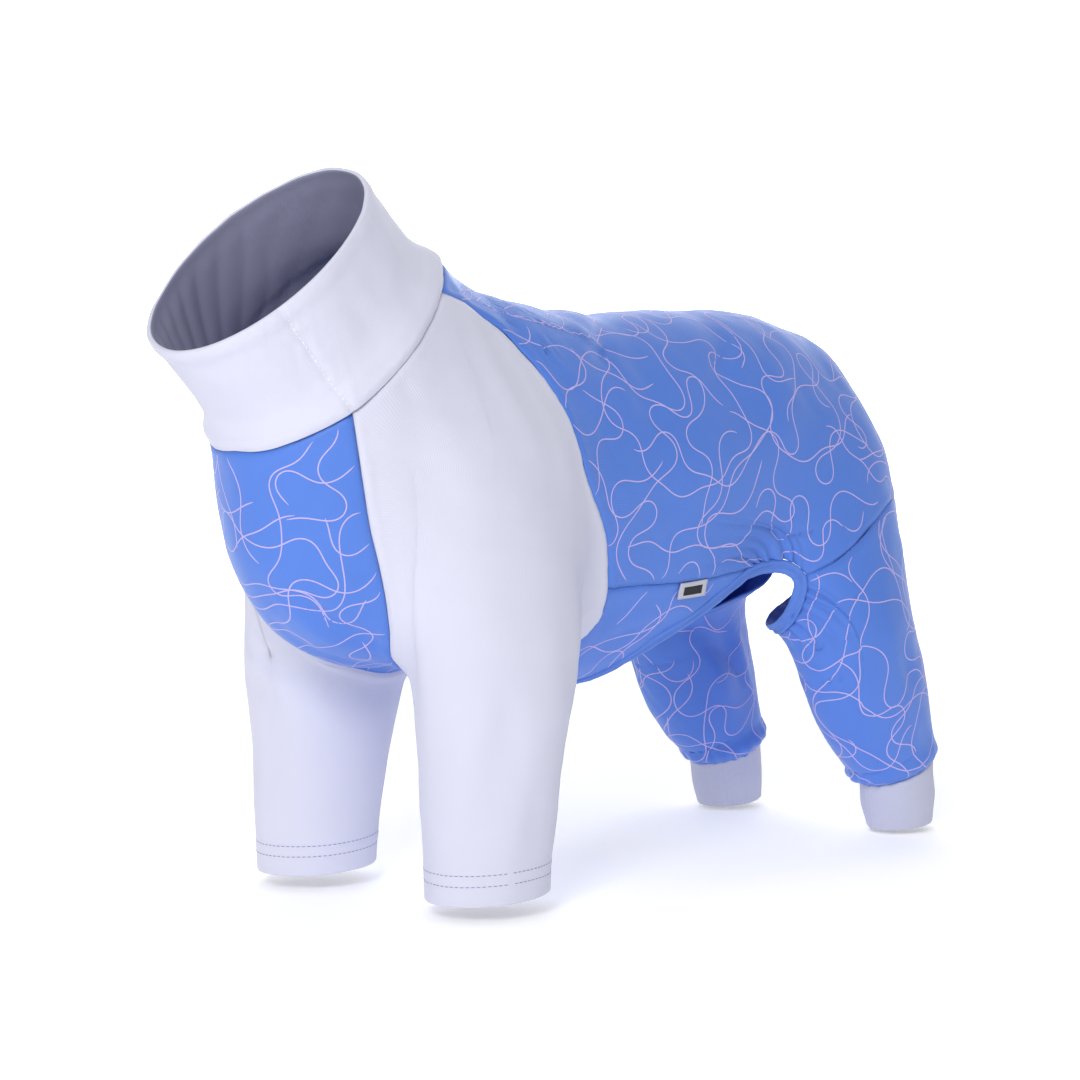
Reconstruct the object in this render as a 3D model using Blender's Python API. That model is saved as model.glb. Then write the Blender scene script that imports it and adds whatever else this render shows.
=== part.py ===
"""Jumpsuit for a medium dog, in the shape it has on the body.

Metres.  +X runs toward the tail, -Y is the dog's left and +Z is up.  The origin is the
inner face of the back panel over the withers.

The suit is stretch knit, so its panels lie on one smooth body form: a trunk, a neck and
four legs, each a tube of oval sections, blended into one surface.  Seam lines are drawn on
that form through a few points each.  Every panel is a grid between its seams, laid on the
form and given the thickness of its cloth.  Panels that meet share the points of their seam,
and each one stops half a seam gap short of it.
"""
from collections import namedtuple

import bpy
import numpy as np

# Lengths of the body that the suit covers
BACK_LENGTH = 0.380
CHEST_WIDTH = 0.164
CHEST_DEPTH = 0.224
FRONT_LEG_HEIGHT = 0.335
HIND_LEG_HEIGHT = 0.341
FRONT_STANCE = 0.140
HIND_STANCE = 0.144
UPPER_ARM_LENGTH = 0.124
UPPER_ARM_WIDTH = 0.084
THIGH_LENGTH = 0.128
THIGH_WIDTH = 0.072
NECK_LENGTH = 0.172
NECK_WIDTH = 0.132

# Openings of the suit
SLEEVE_HEM_LENGTH = 0.072
SLEEVE_HEM_WIDTH = 0.062
CUFF_LENGTH = 0.048
CUFF_WIDTH = 0.044
CUFF_HEIGHT = 0.029
NAPE_HEIGHT = 0.082
THROAT_HEIGHT = 0.066
RIM_WIDTH = 0.119

# How far the ends of the legs rise toward the tail, in degrees
HEM_TILT = 3.0
CUFF_SEAM_TILT = 18.0
CUFF_TILT = 5.0

# Collar lean, in degrees above straight ahead
NAPE_LEAN = 36.0
THROAT_LEAN = 54.5

# Cloth
CLOTH = 0.0012
COLLAR_CLOTH = 0.0028
HEM_CLOTH = 0.0020
HEM_DEPTH = 0.019
CUFF_CLOTH = 0.0022
CUFF_PINCH = 0.0030
BINDING_WIDTH = 0.0080
BINDING_CLOTH = 0.0024
GATHER_DEPTH = 0.0013
GATHER_REACH = 0.028
SEAM_GAP = 0.0004

# Label in the left side seam
LABEL_LENGTH = 0.024
LABEL_DROP = 0.011
LABEL_CLOTH = 0.0008
LABEL_CLEARANCE = 0.0005
LABEL_PLACE = 0.58

# Steps along each seam, and rows down each piece
NAPE_STEPS = 3
SHOULDER_STEPS = 8
THROAT_STEPS = 6
FRONT_RAGLAN_STEPS = 16
REAR_RAGLAN_STEPS = 15
SIDE_STEPS = 12
ARCH_STEPS = 8
HIP_STEPS = 7
TAIL_STEPS = NAPE_STEPS + REAR_RAGLAN_STEPS - ARCH_STEPS - HIP_STEPS
LEG_ARCH_STEPS = 8
THIGH_STEPS = 10
SLEEVE_ROWS = 10
LEG_ROWS = 8
CUFF_ROWS = 2

# Chest panel: where its mid line passes the underarms, and over how many rows its ends turn
CHEST_TURN = 0.10
CHEST_EASE = 7.0

# How softly the tubes of the form run into each other
NECK_BLEND = 0.046
FORELEG_BLEND = 0.030
HIND_LEG_BLEND = 0.036

SIDEWAYS = np.array([0.0, 1.0, 0.0])
LENGTHWISE = np.array([1.0, 0.0, 0.0])
MIRROR = np.array([1.0, -1.0, 1.0])


# Body form

Oval = namedtuple("Oval", "along down half_width half_depth")
LegOval = namedtuple("LegOval", "along out down half_length half_width")

TRUNK = (
    Oval(-0.210, 0.571, 0.378, 0.375),
    Oval(-0.026, 0.509, 0.451, 0.500),
    Oval(0.158, 0.545, 0.482, 0.496),
    Oval(0.316, 0.544, 0.500, 0.501),
    Oval(0.474, 0.512, 0.488, 0.483),
    Oval(0.618, 0.470, 0.463, 0.440),
    Oval(0.724, 0.462, 0.415, 0.388),
)
TRUNK_CAPS = (0.226 * BACK_LENGTH, 0.166 * BACK_LENGTH)

NECK = (
    Oval(-0.184, 0.420, 0.470, 0.500),
    Oval(-0.238, 0.283, 0.492, 0.485),
    Oval(-0.274, 0.180, 0.500, 0.485),
    Oval(-0.332, 0.028, 0.485, 0.462),
)
NECK_CAPS = (0.35 * NECK_LENGTH, 0.17 * NECK_LENGTH)

FORELEG = (
    LegOval(-0.110, 0.714, 0.300, 0.50 * UPPER_ARM_LENGTH, 0.476 * UPPER_ARM_WIDTH),
    LegOval(-0.124, 0.886, 0.478, 0.484 * UPPER_ARM_LENGTH, 0.50 * UPPER_ARM_WIDTH),
    LegOval(-0.129, 0.971, 0.612, 0.435 * UPPER_ARM_LENGTH, 0.476 * UPPER_ARM_WIDTH),
    LegOval(-0.142, 0.986, 0.806, 0.59 * SLEEVE_HEM_LENGTH, 0.565 * SLEEVE_HEM_WIDTH),
    LegOval(-0.149, 1.000, 0.955, 0.513 * SLEEVE_HEM_LENGTH, 0.516 * SLEEVE_HEM_WIDTH),
    LegOval(-0.149, 1.000, 1.030, 0.50 * SLEEVE_HEM_LENGTH, 0.50 * SLEEVE_HEM_WIDTH),
)
HIND_LEG = (
    LegOval(0.716, 0.583, 0.350, 0.50 * THIGH_LENGTH, 0.50 * THIGH_WIDTH),
    LegOval(0.712, 0.833, 0.496, 0.445 * THIGH_LENGTH, 0.50 * THIGH_WIDTH),
    LegOval(0.733, 0.972, 0.627, 0.380 * THIGH_LENGTH, 0.458 * THIGH_WIDTH),
    LegOval(0.792, 1.000, 0.773, 0.328 * THIGH_LENGTH, 0.417 * THIGH_WIDTH),
    LegOval(0.845, 1.000, 0.875, 0.625 * CUFF_LENGTH, 0.568 * CUFF_WIDTH),
    LegOval(0.865, 1.000, 1.000, 0.50 * CUFF_LENGTH, 0.50 * CUFF_WIDTH),
)
LEG_CAPS = (0.040, 0.020)


def unit(vectors):
    """Vectors of length one."""
    return vectors / np.maximum(np.linalg.norm(vectors, axis=-1, keepdims=True), 1e-12)


def smooth_curve(points, count):
    """Count points, evenly spaced, on a smooth curve through the given points."""
    steps = np.linalg.norm(np.diff(points[:, :3], axis=0), axis=1)
    knots = np.concatenate([[0.0], np.cumsum(steps)])
    slopes = np.gradient(points, knots, axis=0)
    at = np.linspace(0.0, knots[-1], 16 * len(points))
    span = np.clip(np.searchsorted(knots, at, side="right") - 1, 0, len(points) - 2)
    width = (knots[span + 1] - knots[span])[:, None]
    t = (at - knots[span])[:, None] / width
    start = (2 * t**3 - 3 * t**2 + 1) * points[span] + (t**3 - 2 * t**2 + t) * width * slopes[span]
    end = (3 * t**2 - 2 * t**3) * points[span + 1] + (t**3 - t**2) * width * slopes[span + 1]
    return even_points(start + end, count)


def even_points(line, count):
    """Count points at equal steps along a line."""
    steps = np.linalg.norm(np.diff(line[:, :3], axis=0), axis=1)
    length = np.concatenate([[0.0], np.cumsum(steps)])
    at = np.linspace(0.0, length[-1], count)
    return np.stack([np.interp(at, length, column) for column in line.T], axis=1)


class Tube:
    """A bent tube of oval sections: centre (3), radius along `side`, radius across it."""

    def __init__(self, sections, side, caps, samples):
        fine = smooth_curve(np.array(sections), samples)
        self.centre = fine[:, :3]
        self.radius = fine[:, 3:]
        self.side = side
        self.caps = caps

    def distance(self, points):
        """Roughly how far points are outside the tube, negative inside."""
        start = self.centre[:-1]
        step = np.diff(self.centre, axis=0)
        length = (step * step).sum(axis=1)
        share = ((points[:, None] - start) * step).sum(axis=2) / length
        share = np.clip(share, 0.0, 1.0)
        away = points[:, None] - start - share[..., None] * step
        nearest = np.argmin((away * away).sum(axis=2), axis=1)
        row = np.arange(len(points))
        away = away[row, nearest]
        share = share[row, nearest][:, None]
        axis = step[nearest] / np.sqrt(length[nearest])[:, None]
        side = unit(self.side - (axis * self.side).sum(axis=1, keepdims=True) * axis)
        across = np.cross(axis, side)
        radius = self.radius[nearest] * (1 - share) + self.radius[nearest + 1] * share
        along = (away * axis).sum(axis=1)
        cap = np.where((nearest == 0) & (along < 0), self.caps[0], self.caps[1])
        squares = ((away * side).sum(axis=1) / radius[:, 0])**2
        squares += ((away * across).sum(axis=1) / radius[:, 1])**2
        squares += (along / cap)**2
        size = np.linalg.norm(away, axis=1)
        return size - size / np.sqrt(np.maximum(squares, 1e-9))


def blend(first, second, width):
    """The nearer of two distances, rounded where they are about equal."""
    share = np.clip(0.5 + 0.5 * (second - first) / width, 0.0, 1.0)
    return second * (1 - share) + first * share - width * share * (1 - share)


def body_sections(ovals, wide, deep):
    """Sections of the trunk or the neck."""
    return [(oval.along * BACK_LENGTH, 0.0, -oval.down * CHEST_DEPTH,
             oval.half_width * wide, oval.half_depth * deep) for oval in ovals]


def leg_sections(ovals, stance, height, side):
    """Sections of one leg; side is -1 for the dog's left and 1 for its right."""
    return [(oval.along * BACK_LENGTH, side * oval.out * stance / 2, -oval.down * height,
             oval.half_length, oval.half_width) for oval in ovals]


TRUNK_TUBE = Tube(body_sections(TRUNK, CHEST_WIDTH, CHEST_DEPTH), SIDEWAYS, TRUNK_CAPS, 22)
NECK_TUBE = Tube(body_sections(NECK, NECK_WIDTH, NECK_LENGTH), SIDEWAYS, NECK_CAPS, 8)
LEG_TUBES = [
    (Tube(leg_sections(ovals, stance, height, side), LENGTHWISE, LEG_CAPS, 14), width)
    for side in (-1, 1)
    for ovals, stance, height, width in (
        (FORELEG, FRONT_STANCE, FRONT_LEG_HEIGHT, FORELEG_BLEND),
        (HIND_LEG, HIND_STANCE, HIND_LEG_HEIGHT, HIND_LEG_BLEND))
]


def place(along, out, down):
    """A point from its shares: of the back's length, the half width and the chest's depth."""
    return np.array([along * BACK_LENGTH, -out * CHEST_WIDTH / 2, -down * CHEST_DEPTH])


# Folds of the cloth: each runs straight from one place to another, half_width to each side.
# A depth above zero stands out of the form, one below zero goes in.

Fold = namedtuple("Fold", "start end half_width depth")

FOLDS = (
    Fold(place(0.265, 0.00, 0.05), place(0.215, 0.78, 0.30), 0.012, -0.0035),
    Fold(place(0.205, 0.00, 0.05), place(0.165, 0.75, 0.28), 0.013, 0.0035),
    Fold(place(0.470, 0.20, 0.06), place(0.420, 0.85, 0.30), 0.012, -0.0025),
    Fold(place(0.010, 0.35, 0.05), place(0.120, 0.95, 0.50), 0.016, 0.0030),
    Fold(place(-0.400, 0.00, 0.72), place(-0.200, 0.20, 0.93), 0.012, -0.0030),
    Fold(place(0.150, 0.80, 0.82), place(0.360, 0.85, 0.80), 0.010, -0.0020),
)


def relief(points):
    """How far the folds lift the cloth off the form."""
    lift = np.zeros(len(points))
    for fold in FOLDS:
        for flip in (np.ones(3), MIRROR):
            start = fold.start * flip
            run = fold.end * flip - start
            share = np.clip(((points - start) * run).sum(axis=1) / (run * run).sum(), 0.0, 1.0)
            away = points - start - share[:, None] * run
            ends = np.sin(np.pi * np.clip(share, 0.08, 0.92))**0.5
            lift += fold.depth * ends * np.exp(-(away * away).sum(axis=1) / fold.half_width**2)
    return lift


def surface(points):
    """Distance outside the suit's inner face."""
    value = blend(TRUNK_TUBE.distance(points), NECK_TUBE.distance(points), NECK_BLEND)
    for tube, width in LEG_TUBES:
        value = blend(value, tube.distance(points), width)
    return value - relief(points)


def steepness(points):
    """Distance outside the inner face, and how it changes along X, Y and Z."""
    nudge = 0.0004
    here = surface(points)
    changes = [(surface(points + nudge * axis) - here) / nudge for axis in np.eye(3)]
    return here, np.stack(changes, axis=1)


def laid(grid, steps):
    """Points moved square onto the suit's inner face."""
    points = grid.reshape(-1, 3).copy()
    for _ in range(steps):
        value, slope = steepness(points)
        points -= (value / np.maximum((slope * slope).sum(axis=1), 0.3))[:, None] * slope
    return points.reshape(grid.shape)


def facing(grid):
    """Unit vectors out of the suit's inner face."""
    return unit(steepness(grid.reshape(-1, 3))[1]).reshape(grid.shape)


# Seams of the left half, each row a share of the back's length, half width and chest depth

NECKLINE = (
    (-0.100, 0.00, -0.094),
    (-0.116, 0.22, -0.090),
    (-0.145, 0.40, -0.074),
    (-0.180, 0.57, -0.040),
    (-0.205, 0.68, 0.003),
    (-0.263, 0.79, 0.098),
    (-0.313, 0.79, 0.183),
    (-0.382, 0.67, 0.290),
    (-0.434, 0.44, 0.353),
    (-0.461, 0.20, 0.384),
    (-0.468, 0.00, 0.384),
)
NECKLINE_CORNERS = (4, 7)

REAR_RAGLAN = (
    (-0.205, 0.68, 0.003),
    (-0.134, 0.58, 0.031),
    (-0.066, 0.57, 0.098),
    (-0.005, 0.77, 0.237),
    (0.037, 1.00, 0.469),
    (0.092, 0.94, 0.629),
    (0.116, 0.85, 0.763),
)
FRONT_RAGLAN = (
    (-0.382, 0.67, 0.290),
    (-0.363, 0.67, 0.446),
    (-0.353, 0.67, 0.545),
    (-0.334, 0.66, 0.634),
    (-0.289, 0.57, 0.768),
    (-0.216, 0.39, 0.902),
    (-0.153, 0.35, 0.964),
    (-0.079, 0.37, 0.987),
    (0.000, 0.43, 0.982),
    (0.066, 0.52, 0.955),
    (0.105, 0.65, 0.906),
    (0.124, 0.76, 0.848),
    (0.116, 0.85, 0.763),
)
SIDE_SEAM = (
    (0.116, 0.85, 0.763),
    (0.208, 0.89, 0.763),
    (0.289, 0.90, 0.763),
    (0.355, 0.90, 0.754),
    (0.445, 0.88, 0.741),
)
OPENING = (
    (0.180, 0.00, 1.045),
    (0.195, 0.30, 1.020),
    (0.232, 0.55, 0.951),
    (0.290, 0.72, 0.893),
    (0.361, 0.82, 0.830),
    (0.445, 0.88, 0.741),
    (0.505, 0.89, 0.727),
    (0.550, 0.94, 0.737),
    (0.574, 0.98, 0.777),
    (0.578, 0.95, 0.839),
    (0.580, 0.86, 0.897),
    (0.600, 0.70, 0.930),
    (0.655, 0.45, 0.915),
    (0.740, 0.34, 0.870),
    (0.840, 0.30, 0.790),
    (0.920, 0.31, 0.680),
    (0.945, 0.34, 0.590),
    (0.950, 0.22, 0.490),
    (0.950, 0.00, 0.455),
)
OPENING_CORNERS = (5, 8, 11, 16)
CHEST_MIDDLE = (
    (-0.468, 0.00, 0.384),
    (-0.478, 0.00, 0.500),
    (-0.455, 0.00, 0.650),
    (-0.395, 0.00, 0.800),
    (-0.300, 0.00, 0.905),
    (-0.200, 0.00, 0.945),
    (-0.100, 0.00, 0.965),
    (0.010, 0.00, 1.010),
    (0.095, 0.00, 1.035),
    (0.180, 0.00, 1.045),
)
HIP_SEAM = (
    (0.574, 0.98, 0.777),
    (0.611, 1.07, 0.746),
    (0.658, 1.12, 0.701),
    (0.711, 1.11, 0.647),
    (0.784, 1.02, 0.589),
    (0.882, 0.73, 0.571),
    (0.945, 0.34, 0.590),
)


def drawn(rows):
    """Seam rows as a smooth line of close points on the form."""
    points = laid(np.array([place(*row) for row in rows]), 6)
    return laid(smooth_curve(points, 12 * len(rows)), 4)


def stepped(line, count):
    """A seam of count equal steps."""
    return laid(even_points(line, count + 1), 3)


def stepped_between(rows, corners, counts):
    """A symmetric half line from mid line to mid line, cut at its corners into seams."""
    mirrored = [(along, -out, down) for along, out, down in (rows[1], rows[-2])]
    line = drawn([mirrored[0], *rows, mirrored[1]])
    laid_corners = laid(np.array([place(*rows[corner]) for corner in corners]), 6)
    half = len(line) // 2
    middle = (np.argmin(np.abs(line[:half, 1])), half + np.argmin(np.abs(line[half:, 1])))
    cuts = [np.argmin(np.linalg.norm(line - corner, axis=1)) for corner in laid_corners]
    cuts = [middle[0], *cuts, middle[1]]
    seams = [stepped(line[a:b + 1], count) for a, b, count in zip(cuts, cuts[1:], counts)]
    seams[0][0, 1] = 0.0
    seams[-1][-1, 1] = 0.0
    return seams


def seam(rows, count, start, end):
    """A seam of count equal steps whose ends are given points."""
    line = stepped(drawn(rows), count)
    line[0] = start
    line[-1] = end
    return line


NAPE, SHOULDER, THROAT = stepped_between(
    NECKLINE, NECKLINE_CORNERS, (NAPE_STEPS, SHOULDER_STEPS, THROAT_STEPS))
BELLY_EDGE, ARCH, LEG_ARCH, THIGH_EDGE, TAIL_EDGE = stepped_between(
    OPENING, OPENING_CORNERS, (THROAT_STEPS, ARCH_STEPS, LEG_ARCH_STEPS, THIGH_STEPS, TAIL_STEPS))
SIDE = seam(SIDE_SEAM, SIDE_STEPS, laid(place(*SIDE_SEAM[0]), 6), ARCH[0])
REAR = seam(REAR_RAGLAN, REAR_RAGLAN_STEPS, SHOULDER[0], SIDE[0])
FRONT = seam(FRONT_RAGLAN, FRONT_RAGLAN_STEPS, THROAT[0], SIDE[0])
HIP = seam(HIP_SEAM, HIP_STEPS, LEG_ARCH[0], TAIL_EDGE[0])


def joined(*lines):
    """Lines end to end, without the doubled points."""
    return np.concatenate([lines[0]] + [line[1:] for line in lines[1:]])


def both_sides(half):
    """A left half line that ends on the mid line, followed by its mirror image."""
    return joined(half, (half * MIRROR)[::-1])


# Grids

def patch(front, rear, left, right):
    """A grid between four lines: rows run from front to rear, columns from left to right."""
    v = np.linspace(0.0, 1.0, len(left))[:, None, None]
    u = np.linspace(0.0, 1.0, len(front))[None, :, None]
    ruled = (1 - v) * front[None] + v * rear[None] + (1 - u) * left[:, None] + u * right[:, None]
    corners = (1 - v) * ((1 - u) * front[0] + u * front[-1]) + v * ((1 - u) * rear[0] + u * rear[-1])
    return ruled - corners


def square(grid, closed):
    """A grid whose lines leave its first row square to that row, along the form."""
    edge = grid[0]
    if closed:
        along = unit(np.roll(edge, -1, axis=0) - np.roll(edge, 1, axis=0))
        hold = np.ones(len(edge))
    else:
        along = unit(np.gradient(edge, axis=0))
        hold = np.sin(np.pi * np.linspace(0.0, 1.0, len(edge)))**0.3
    away = np.cross(along, facing(edge))
    step = grid[1] - edge
    away *= np.sign((away * step).sum())
    turn = away * np.linalg.norm(step, axis=1, keepdims=True) - step
    row = np.arange(len(grid))[:, None, None]
    return grid + row * np.exp(-(row / 3.0)**2) * (turn * hold[:, None])[None]


def settled(grid, closed, rounds):
    """A grid evened out on the form, with its edges left where they are."""
    for _ in range(rounds):
        grid = grid.copy()
        if closed:
            sides = (np.roll(grid, 1, axis=1) + np.roll(grid, -1, axis=1))[1:-1]
            grid[1:-1] = (grid[:-2] + grid[2:] + sides) / 4
        else:
            sides = grid[1:-1, :-2] + grid[1:-1, 2:]
            grid[1:-1, 1:-1] = (grid[:-2, 1:-1] + grid[2:, 1:-1] + sides) / 4
        grid = relaid(grid, closed, 2)
    return relaid(grid, closed, 4)


def relaid(grid, closed, steps):
    """The inside of a grid laid on the form."""
    grid = grid.copy()
    columns = slice(None) if closed else slice(1, -1)
    grid[1:-1, columns] = laid(grid[1:-1, columns], steps)
    return grid


def pulled(edge, inner, closed):
    """Unit vectors from an edge into its piece, square to the edge."""
    if closed:
        along = unit(np.roll(edge, -1, axis=0) - np.roll(edge, 1, axis=0))
    else:
        along = unit(np.gradient(edge, axis=0))
    inward = inner - edge
    return unit(inward - (inward * along).sum(axis=1, keepdims=True) * along)


def trimmed(grid, closed, amount, last=True):
    """A grid whose edges stop short of its seams by an amount."""
    cut = grid.copy()
    ends = [(0, 1)] + ([(-1, -2)] if last else [])
    rows = {edge: pulled(grid[edge], grid[inner], closed) for edge, inner in ends}
    for edge, pull in rows.items():
        cut[edge] += amount * pull
    if closed:
        return cut
    for edge, inner in ((0, 1), (-1, -2)):
        pull = pulled(grid[:, edge], grid[:, inner], False)
        cut[1:-1, edge] += amount * pull[1:-1]
        for corner in (0, -1):
            both = pull[corner] + rows[corner][edge]
            overlap = 1 + (pull[corner] * rows[corner][edge]).sum()
            cut[corner, edge] = grid[corner, edge] + amount * both / max(overlap, 0.4)
    return cut


# Grids of the panels

def tube_grid(loop, ring, rows):
    """A grid from a closed seam loop to a ring, evened out on the form."""
    share = rows[:, None, None]
    return settled(square((1 - share) * loop[None] + share * ring[None], True), True, 1)


def leg_ring(sections, height, tilt, degrees):
    """Points on the form around a leg at a height, at the given angles; tilt lifts its rear."""
    fine = smooth_curve(np.array(sections), 60)
    centre = fine[np.argmin(np.abs(fine[:, 2] + height))]
    turn = np.radians(degrees)
    x = centre[3] * np.cos(turn)
    points = np.stack([centre[0] + x, centre[1] + centre[4] * np.sin(turn),
                       -height + x * np.tan(np.radians(tilt))], axis=1)
    for _ in range(5):
        value, slope = steepness(points)
        slope[:, 2] = 0.0
        points -= (value / np.maximum((slope * slope).sum(axis=1), 0.3))[:, None] * slope
        points[:, 2] = -height + (points[:, 0] - centre[0]) * np.tan(np.radians(tilt))
    return points


def back_grid():
    """The back, from the collar and rear sleeve seams to the opening and hip seams."""
    front = both_sides(joined(REAR[::-1], NAPE[::-1]))
    rear = both_sides(joined(ARCH, HIP, TAIL_EDGE))
    grid = square(patch(front, rear, SIDE, SIDE * MIRROR), False)
    return settled(square(grid[::-1], False)[::-1], False, 1)


def chest_grid():
    """The front, from the throat between the sleeves to the belly edge."""
    left = joined(FRONT, SIDE)
    middle = drawn(CHEST_MIDDLE)
    turn = np.argmin(np.abs(middle[:, 0] - CHEST_TURN * BACK_LENGTH))
    middle = joined(stepped(middle[:turn + 1], FRONT_RAGLAN_STEPS),
                    stepped(middle[turn:], SIDE_STEPS))
    middle[:, 1] = 0.0
    angle = np.linspace(0.0, np.pi / 2, THROAT_STEPS + 1)[None, :, None]
    share = np.where(SIDEWAYS > 0, 1 - np.cos(angle), np.sin(angle))
    half = (1 - share) * left[:, None] + share * middle[:, None]
    row = np.arange(len(left))[:, None, None]
    near_front = np.clip(1 - row / CHEST_EASE, 0.0, 1.0)
    near_rear = np.clip(1 - (len(left) - 1 - row) / CHEST_EASE, 0.0, 1.0)
    half += near_front * (THROAT - half[0])[None]
    half += near_rear * (BELLY_EDGE[::-1] - half[-1])[None]
    grid = np.concatenate([half, (half * MIRROR)[:, -2::-1]], axis=1)
    return settled(relaid(grid, False, 8), False, 1)


def sleeve_grid():
    """The left sleeve, from its raglan seams to the hem."""
    loop = joined(SHOULDER, FRONT, REAR[::-1])[:-1]
    corners = (0, SHOULDER_STEPS, SHOULDER_STEPS + FRONT_RAGLAN_STEPS, len(loop))
    degrees = np.interp(np.arange(len(loop)), corners, (250, 190, -5, -110))
    sections = leg_sections(FORELEG, FRONT_STANCE, FRONT_LEG_HEIGHT, -1)
    ring = leg_ring(sections, FRONT_LEG_HEIGHT, HEM_TILT, degrees)
    hem_share = HEM_DEPTH / (FRONT_LEG_HEIGHT - CHEST_DEPTH)
    rows = np.append(np.linspace(0.0, 1.0 - hem_share, SLEEVE_ROWS), 1.0)
    return tube_grid(loop, ring, rows)


def cuff_seam():
    """The ring where a left hind leg is gathered onto its cuff, and the way out of it."""
    corners = (0, HIP_STEPS, HIP_STEPS + THIGH_STEPS, HIP_STEPS + THIGH_STEPS + LEG_ARCH_STEPS)
    degrees = np.interp(np.arange(corners[-1]), corners, (190, 370, 490, 550))
    sections = leg_sections(HIND_LEG, HIND_STANCE, HIND_LEG_HEIGHT, -1)
    ring = leg_ring(sections, HIND_LEG_HEIGHT - CUFF_HEIGHT, CUFF_SEAM_TILT, degrees)
    low = leg_ring(sections, HIND_LEG_HEIGHT, CUFF_TILT, degrees)
    return ring, low


def leg_grid():
    """The left trouser leg, from its seams and the opening to the cuff."""
    ring, _ = cuff_seam()
    loop = joined(HIP, THIGH_EDGE[::-1], LEG_ARCH[::-1])[:-1]
    fullness = CUFF_PINCH / (HIND_LEG_HEIGHT - CUFF_HEIGHT - CHEST_DEPTH)
    rows = np.append(np.linspace(0.0, 1.0 - 2.0 * fullness, LEG_ROWS), 1.0)
    return tube_grid(loop, ring, rows)


# Collar: how far its wall swells at each height, as shares of its height at the nape

Swell = namedtuple("Swell", "height nape side throat")

SWELLS = (
    Swell(0.00, 0.000, 0.000, 0.000),
    Swell(0.07, 0.000, 0.000, -0.035),
    Swell(0.15, -0.010, 0.000, -0.070),
    Swell(0.25, -0.050, -0.020, -0.092),
    Swell(0.40, -0.070, -0.030, -0.080),
    Swell(0.60, -0.050, -0.020, -0.052),
    Swell(0.80, -0.020, -0.005, -0.025),
    Swell(1.00, 0.000, 0.000, 0.000),
)


def lean(degrees):
    """The way the collar rises at one end, as a unit vector."""
    return np.array([-np.cos(np.radians(degrees)), 0.0, np.sin(np.radians(degrees))])


def collar_grid():
    """The collar's inner face, from the neck seam to the rim, round a full turn."""
    base = joined(NAPE, SHOULDER, THROAT)
    nape = base[0] + NAPE_HEIGHT * lean(NAPE_LEAN)
    throat = base[-1] + THROAT_HEIGHT * lean(THROAT_LEAN)
    turn = np.linspace(0.0, np.pi, 200)[:, None]
    oval = ((nape + throat) / 2 + (nape - throat) / 2 * np.cos(turn)
            - SIDEWAYS * (RIM_WIDTH / 2) * np.sin(turn))
    rim = even_points(oval, 200)
    steps = np.linalg.norm(np.diff(base, axis=0), axis=1)
    share = np.concatenate([[0.0], np.cumsum(steps)]) / steps.sum()
    rim = rim[np.round(share * (len(rim) - 1)).astype(int)]
    rise = rim - base
    out = unit(np.cross(np.gradient(base + rim, axis=0), rise))
    out *= np.sign((out * (base - base.mean(axis=0) * [1, 0, 1])).sum(axis=1, keepdims=True))
    grid = []
    for swell in SWELLS:
        amount = np.interp(share, (0.0, 0.5, 1.0), (swell.nape, swell.side, swell.throat))
        grid.append(base + rise * swell.height + out * (amount * NAPE_HEIGHT)[:, None])
    half = np.stack(grid)
    half[:, [0, -1], 1] = 0.0
    return np.concatenate([half, (half * MIRROR)[:, -2:0:-1]], axis=1)


def grid_facing(grid):
    """Unit vectors out of a closed grid, from its own shape."""
    around = np.roll(grid, -1, axis=1) - np.roll(grid, 1, axis=1)
    out = unit(np.cross(around, np.gradient(grid, axis=0)))
    middle = grid.mean(axis=1, keepdims=True)
    return out * np.sign(((grid - middle) * out).sum())


# Meshes

def material(name, colour, roughness):
    """A plain material of one colour."""
    made = bpy.data.materials.new(name)
    made.use_nodes = True
    shader = made.node_tree.nodes["Principled BSDF"]
    shader.inputs["Base Color"].default_value = (*colour, 1.0)
    shader.inputs["Roughness"].default_value = roughness
    shader.inputs["Metallic"].default_value = 0.0
    return made


def add_object(name, points, faces, look):
    """An object whose faces point out of its closed mesh."""
    corners = points[np.array(faces)]
    volume = (corners[:, 0] * np.cross(corners[:, 1], corners[:, 2])).sum()
    if volume < 0:
        faces = [face[::-1] for face in faces]
    mesh = bpy.data.meshes.new(name)
    mesh.from_pydata((points - WITHERS).tolist(), [], faces)
    mesh.materials.append(look)
    mesh.shade_smooth()
    mesh.set_sharp_from_angle(angle=np.radians(50))
    made = bpy.data.objects.new(name, mesh)
    bpy.context.scene.collection.objects.link(made)
    return made


def halves(a, b, c, d, first):
    """Two triangles of a four-sided face, cut from a to c if first, else from b to d."""
    return [(a, b, c), (a, c, d)] if first else [(a, b, d), (b, c, d)]


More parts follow.
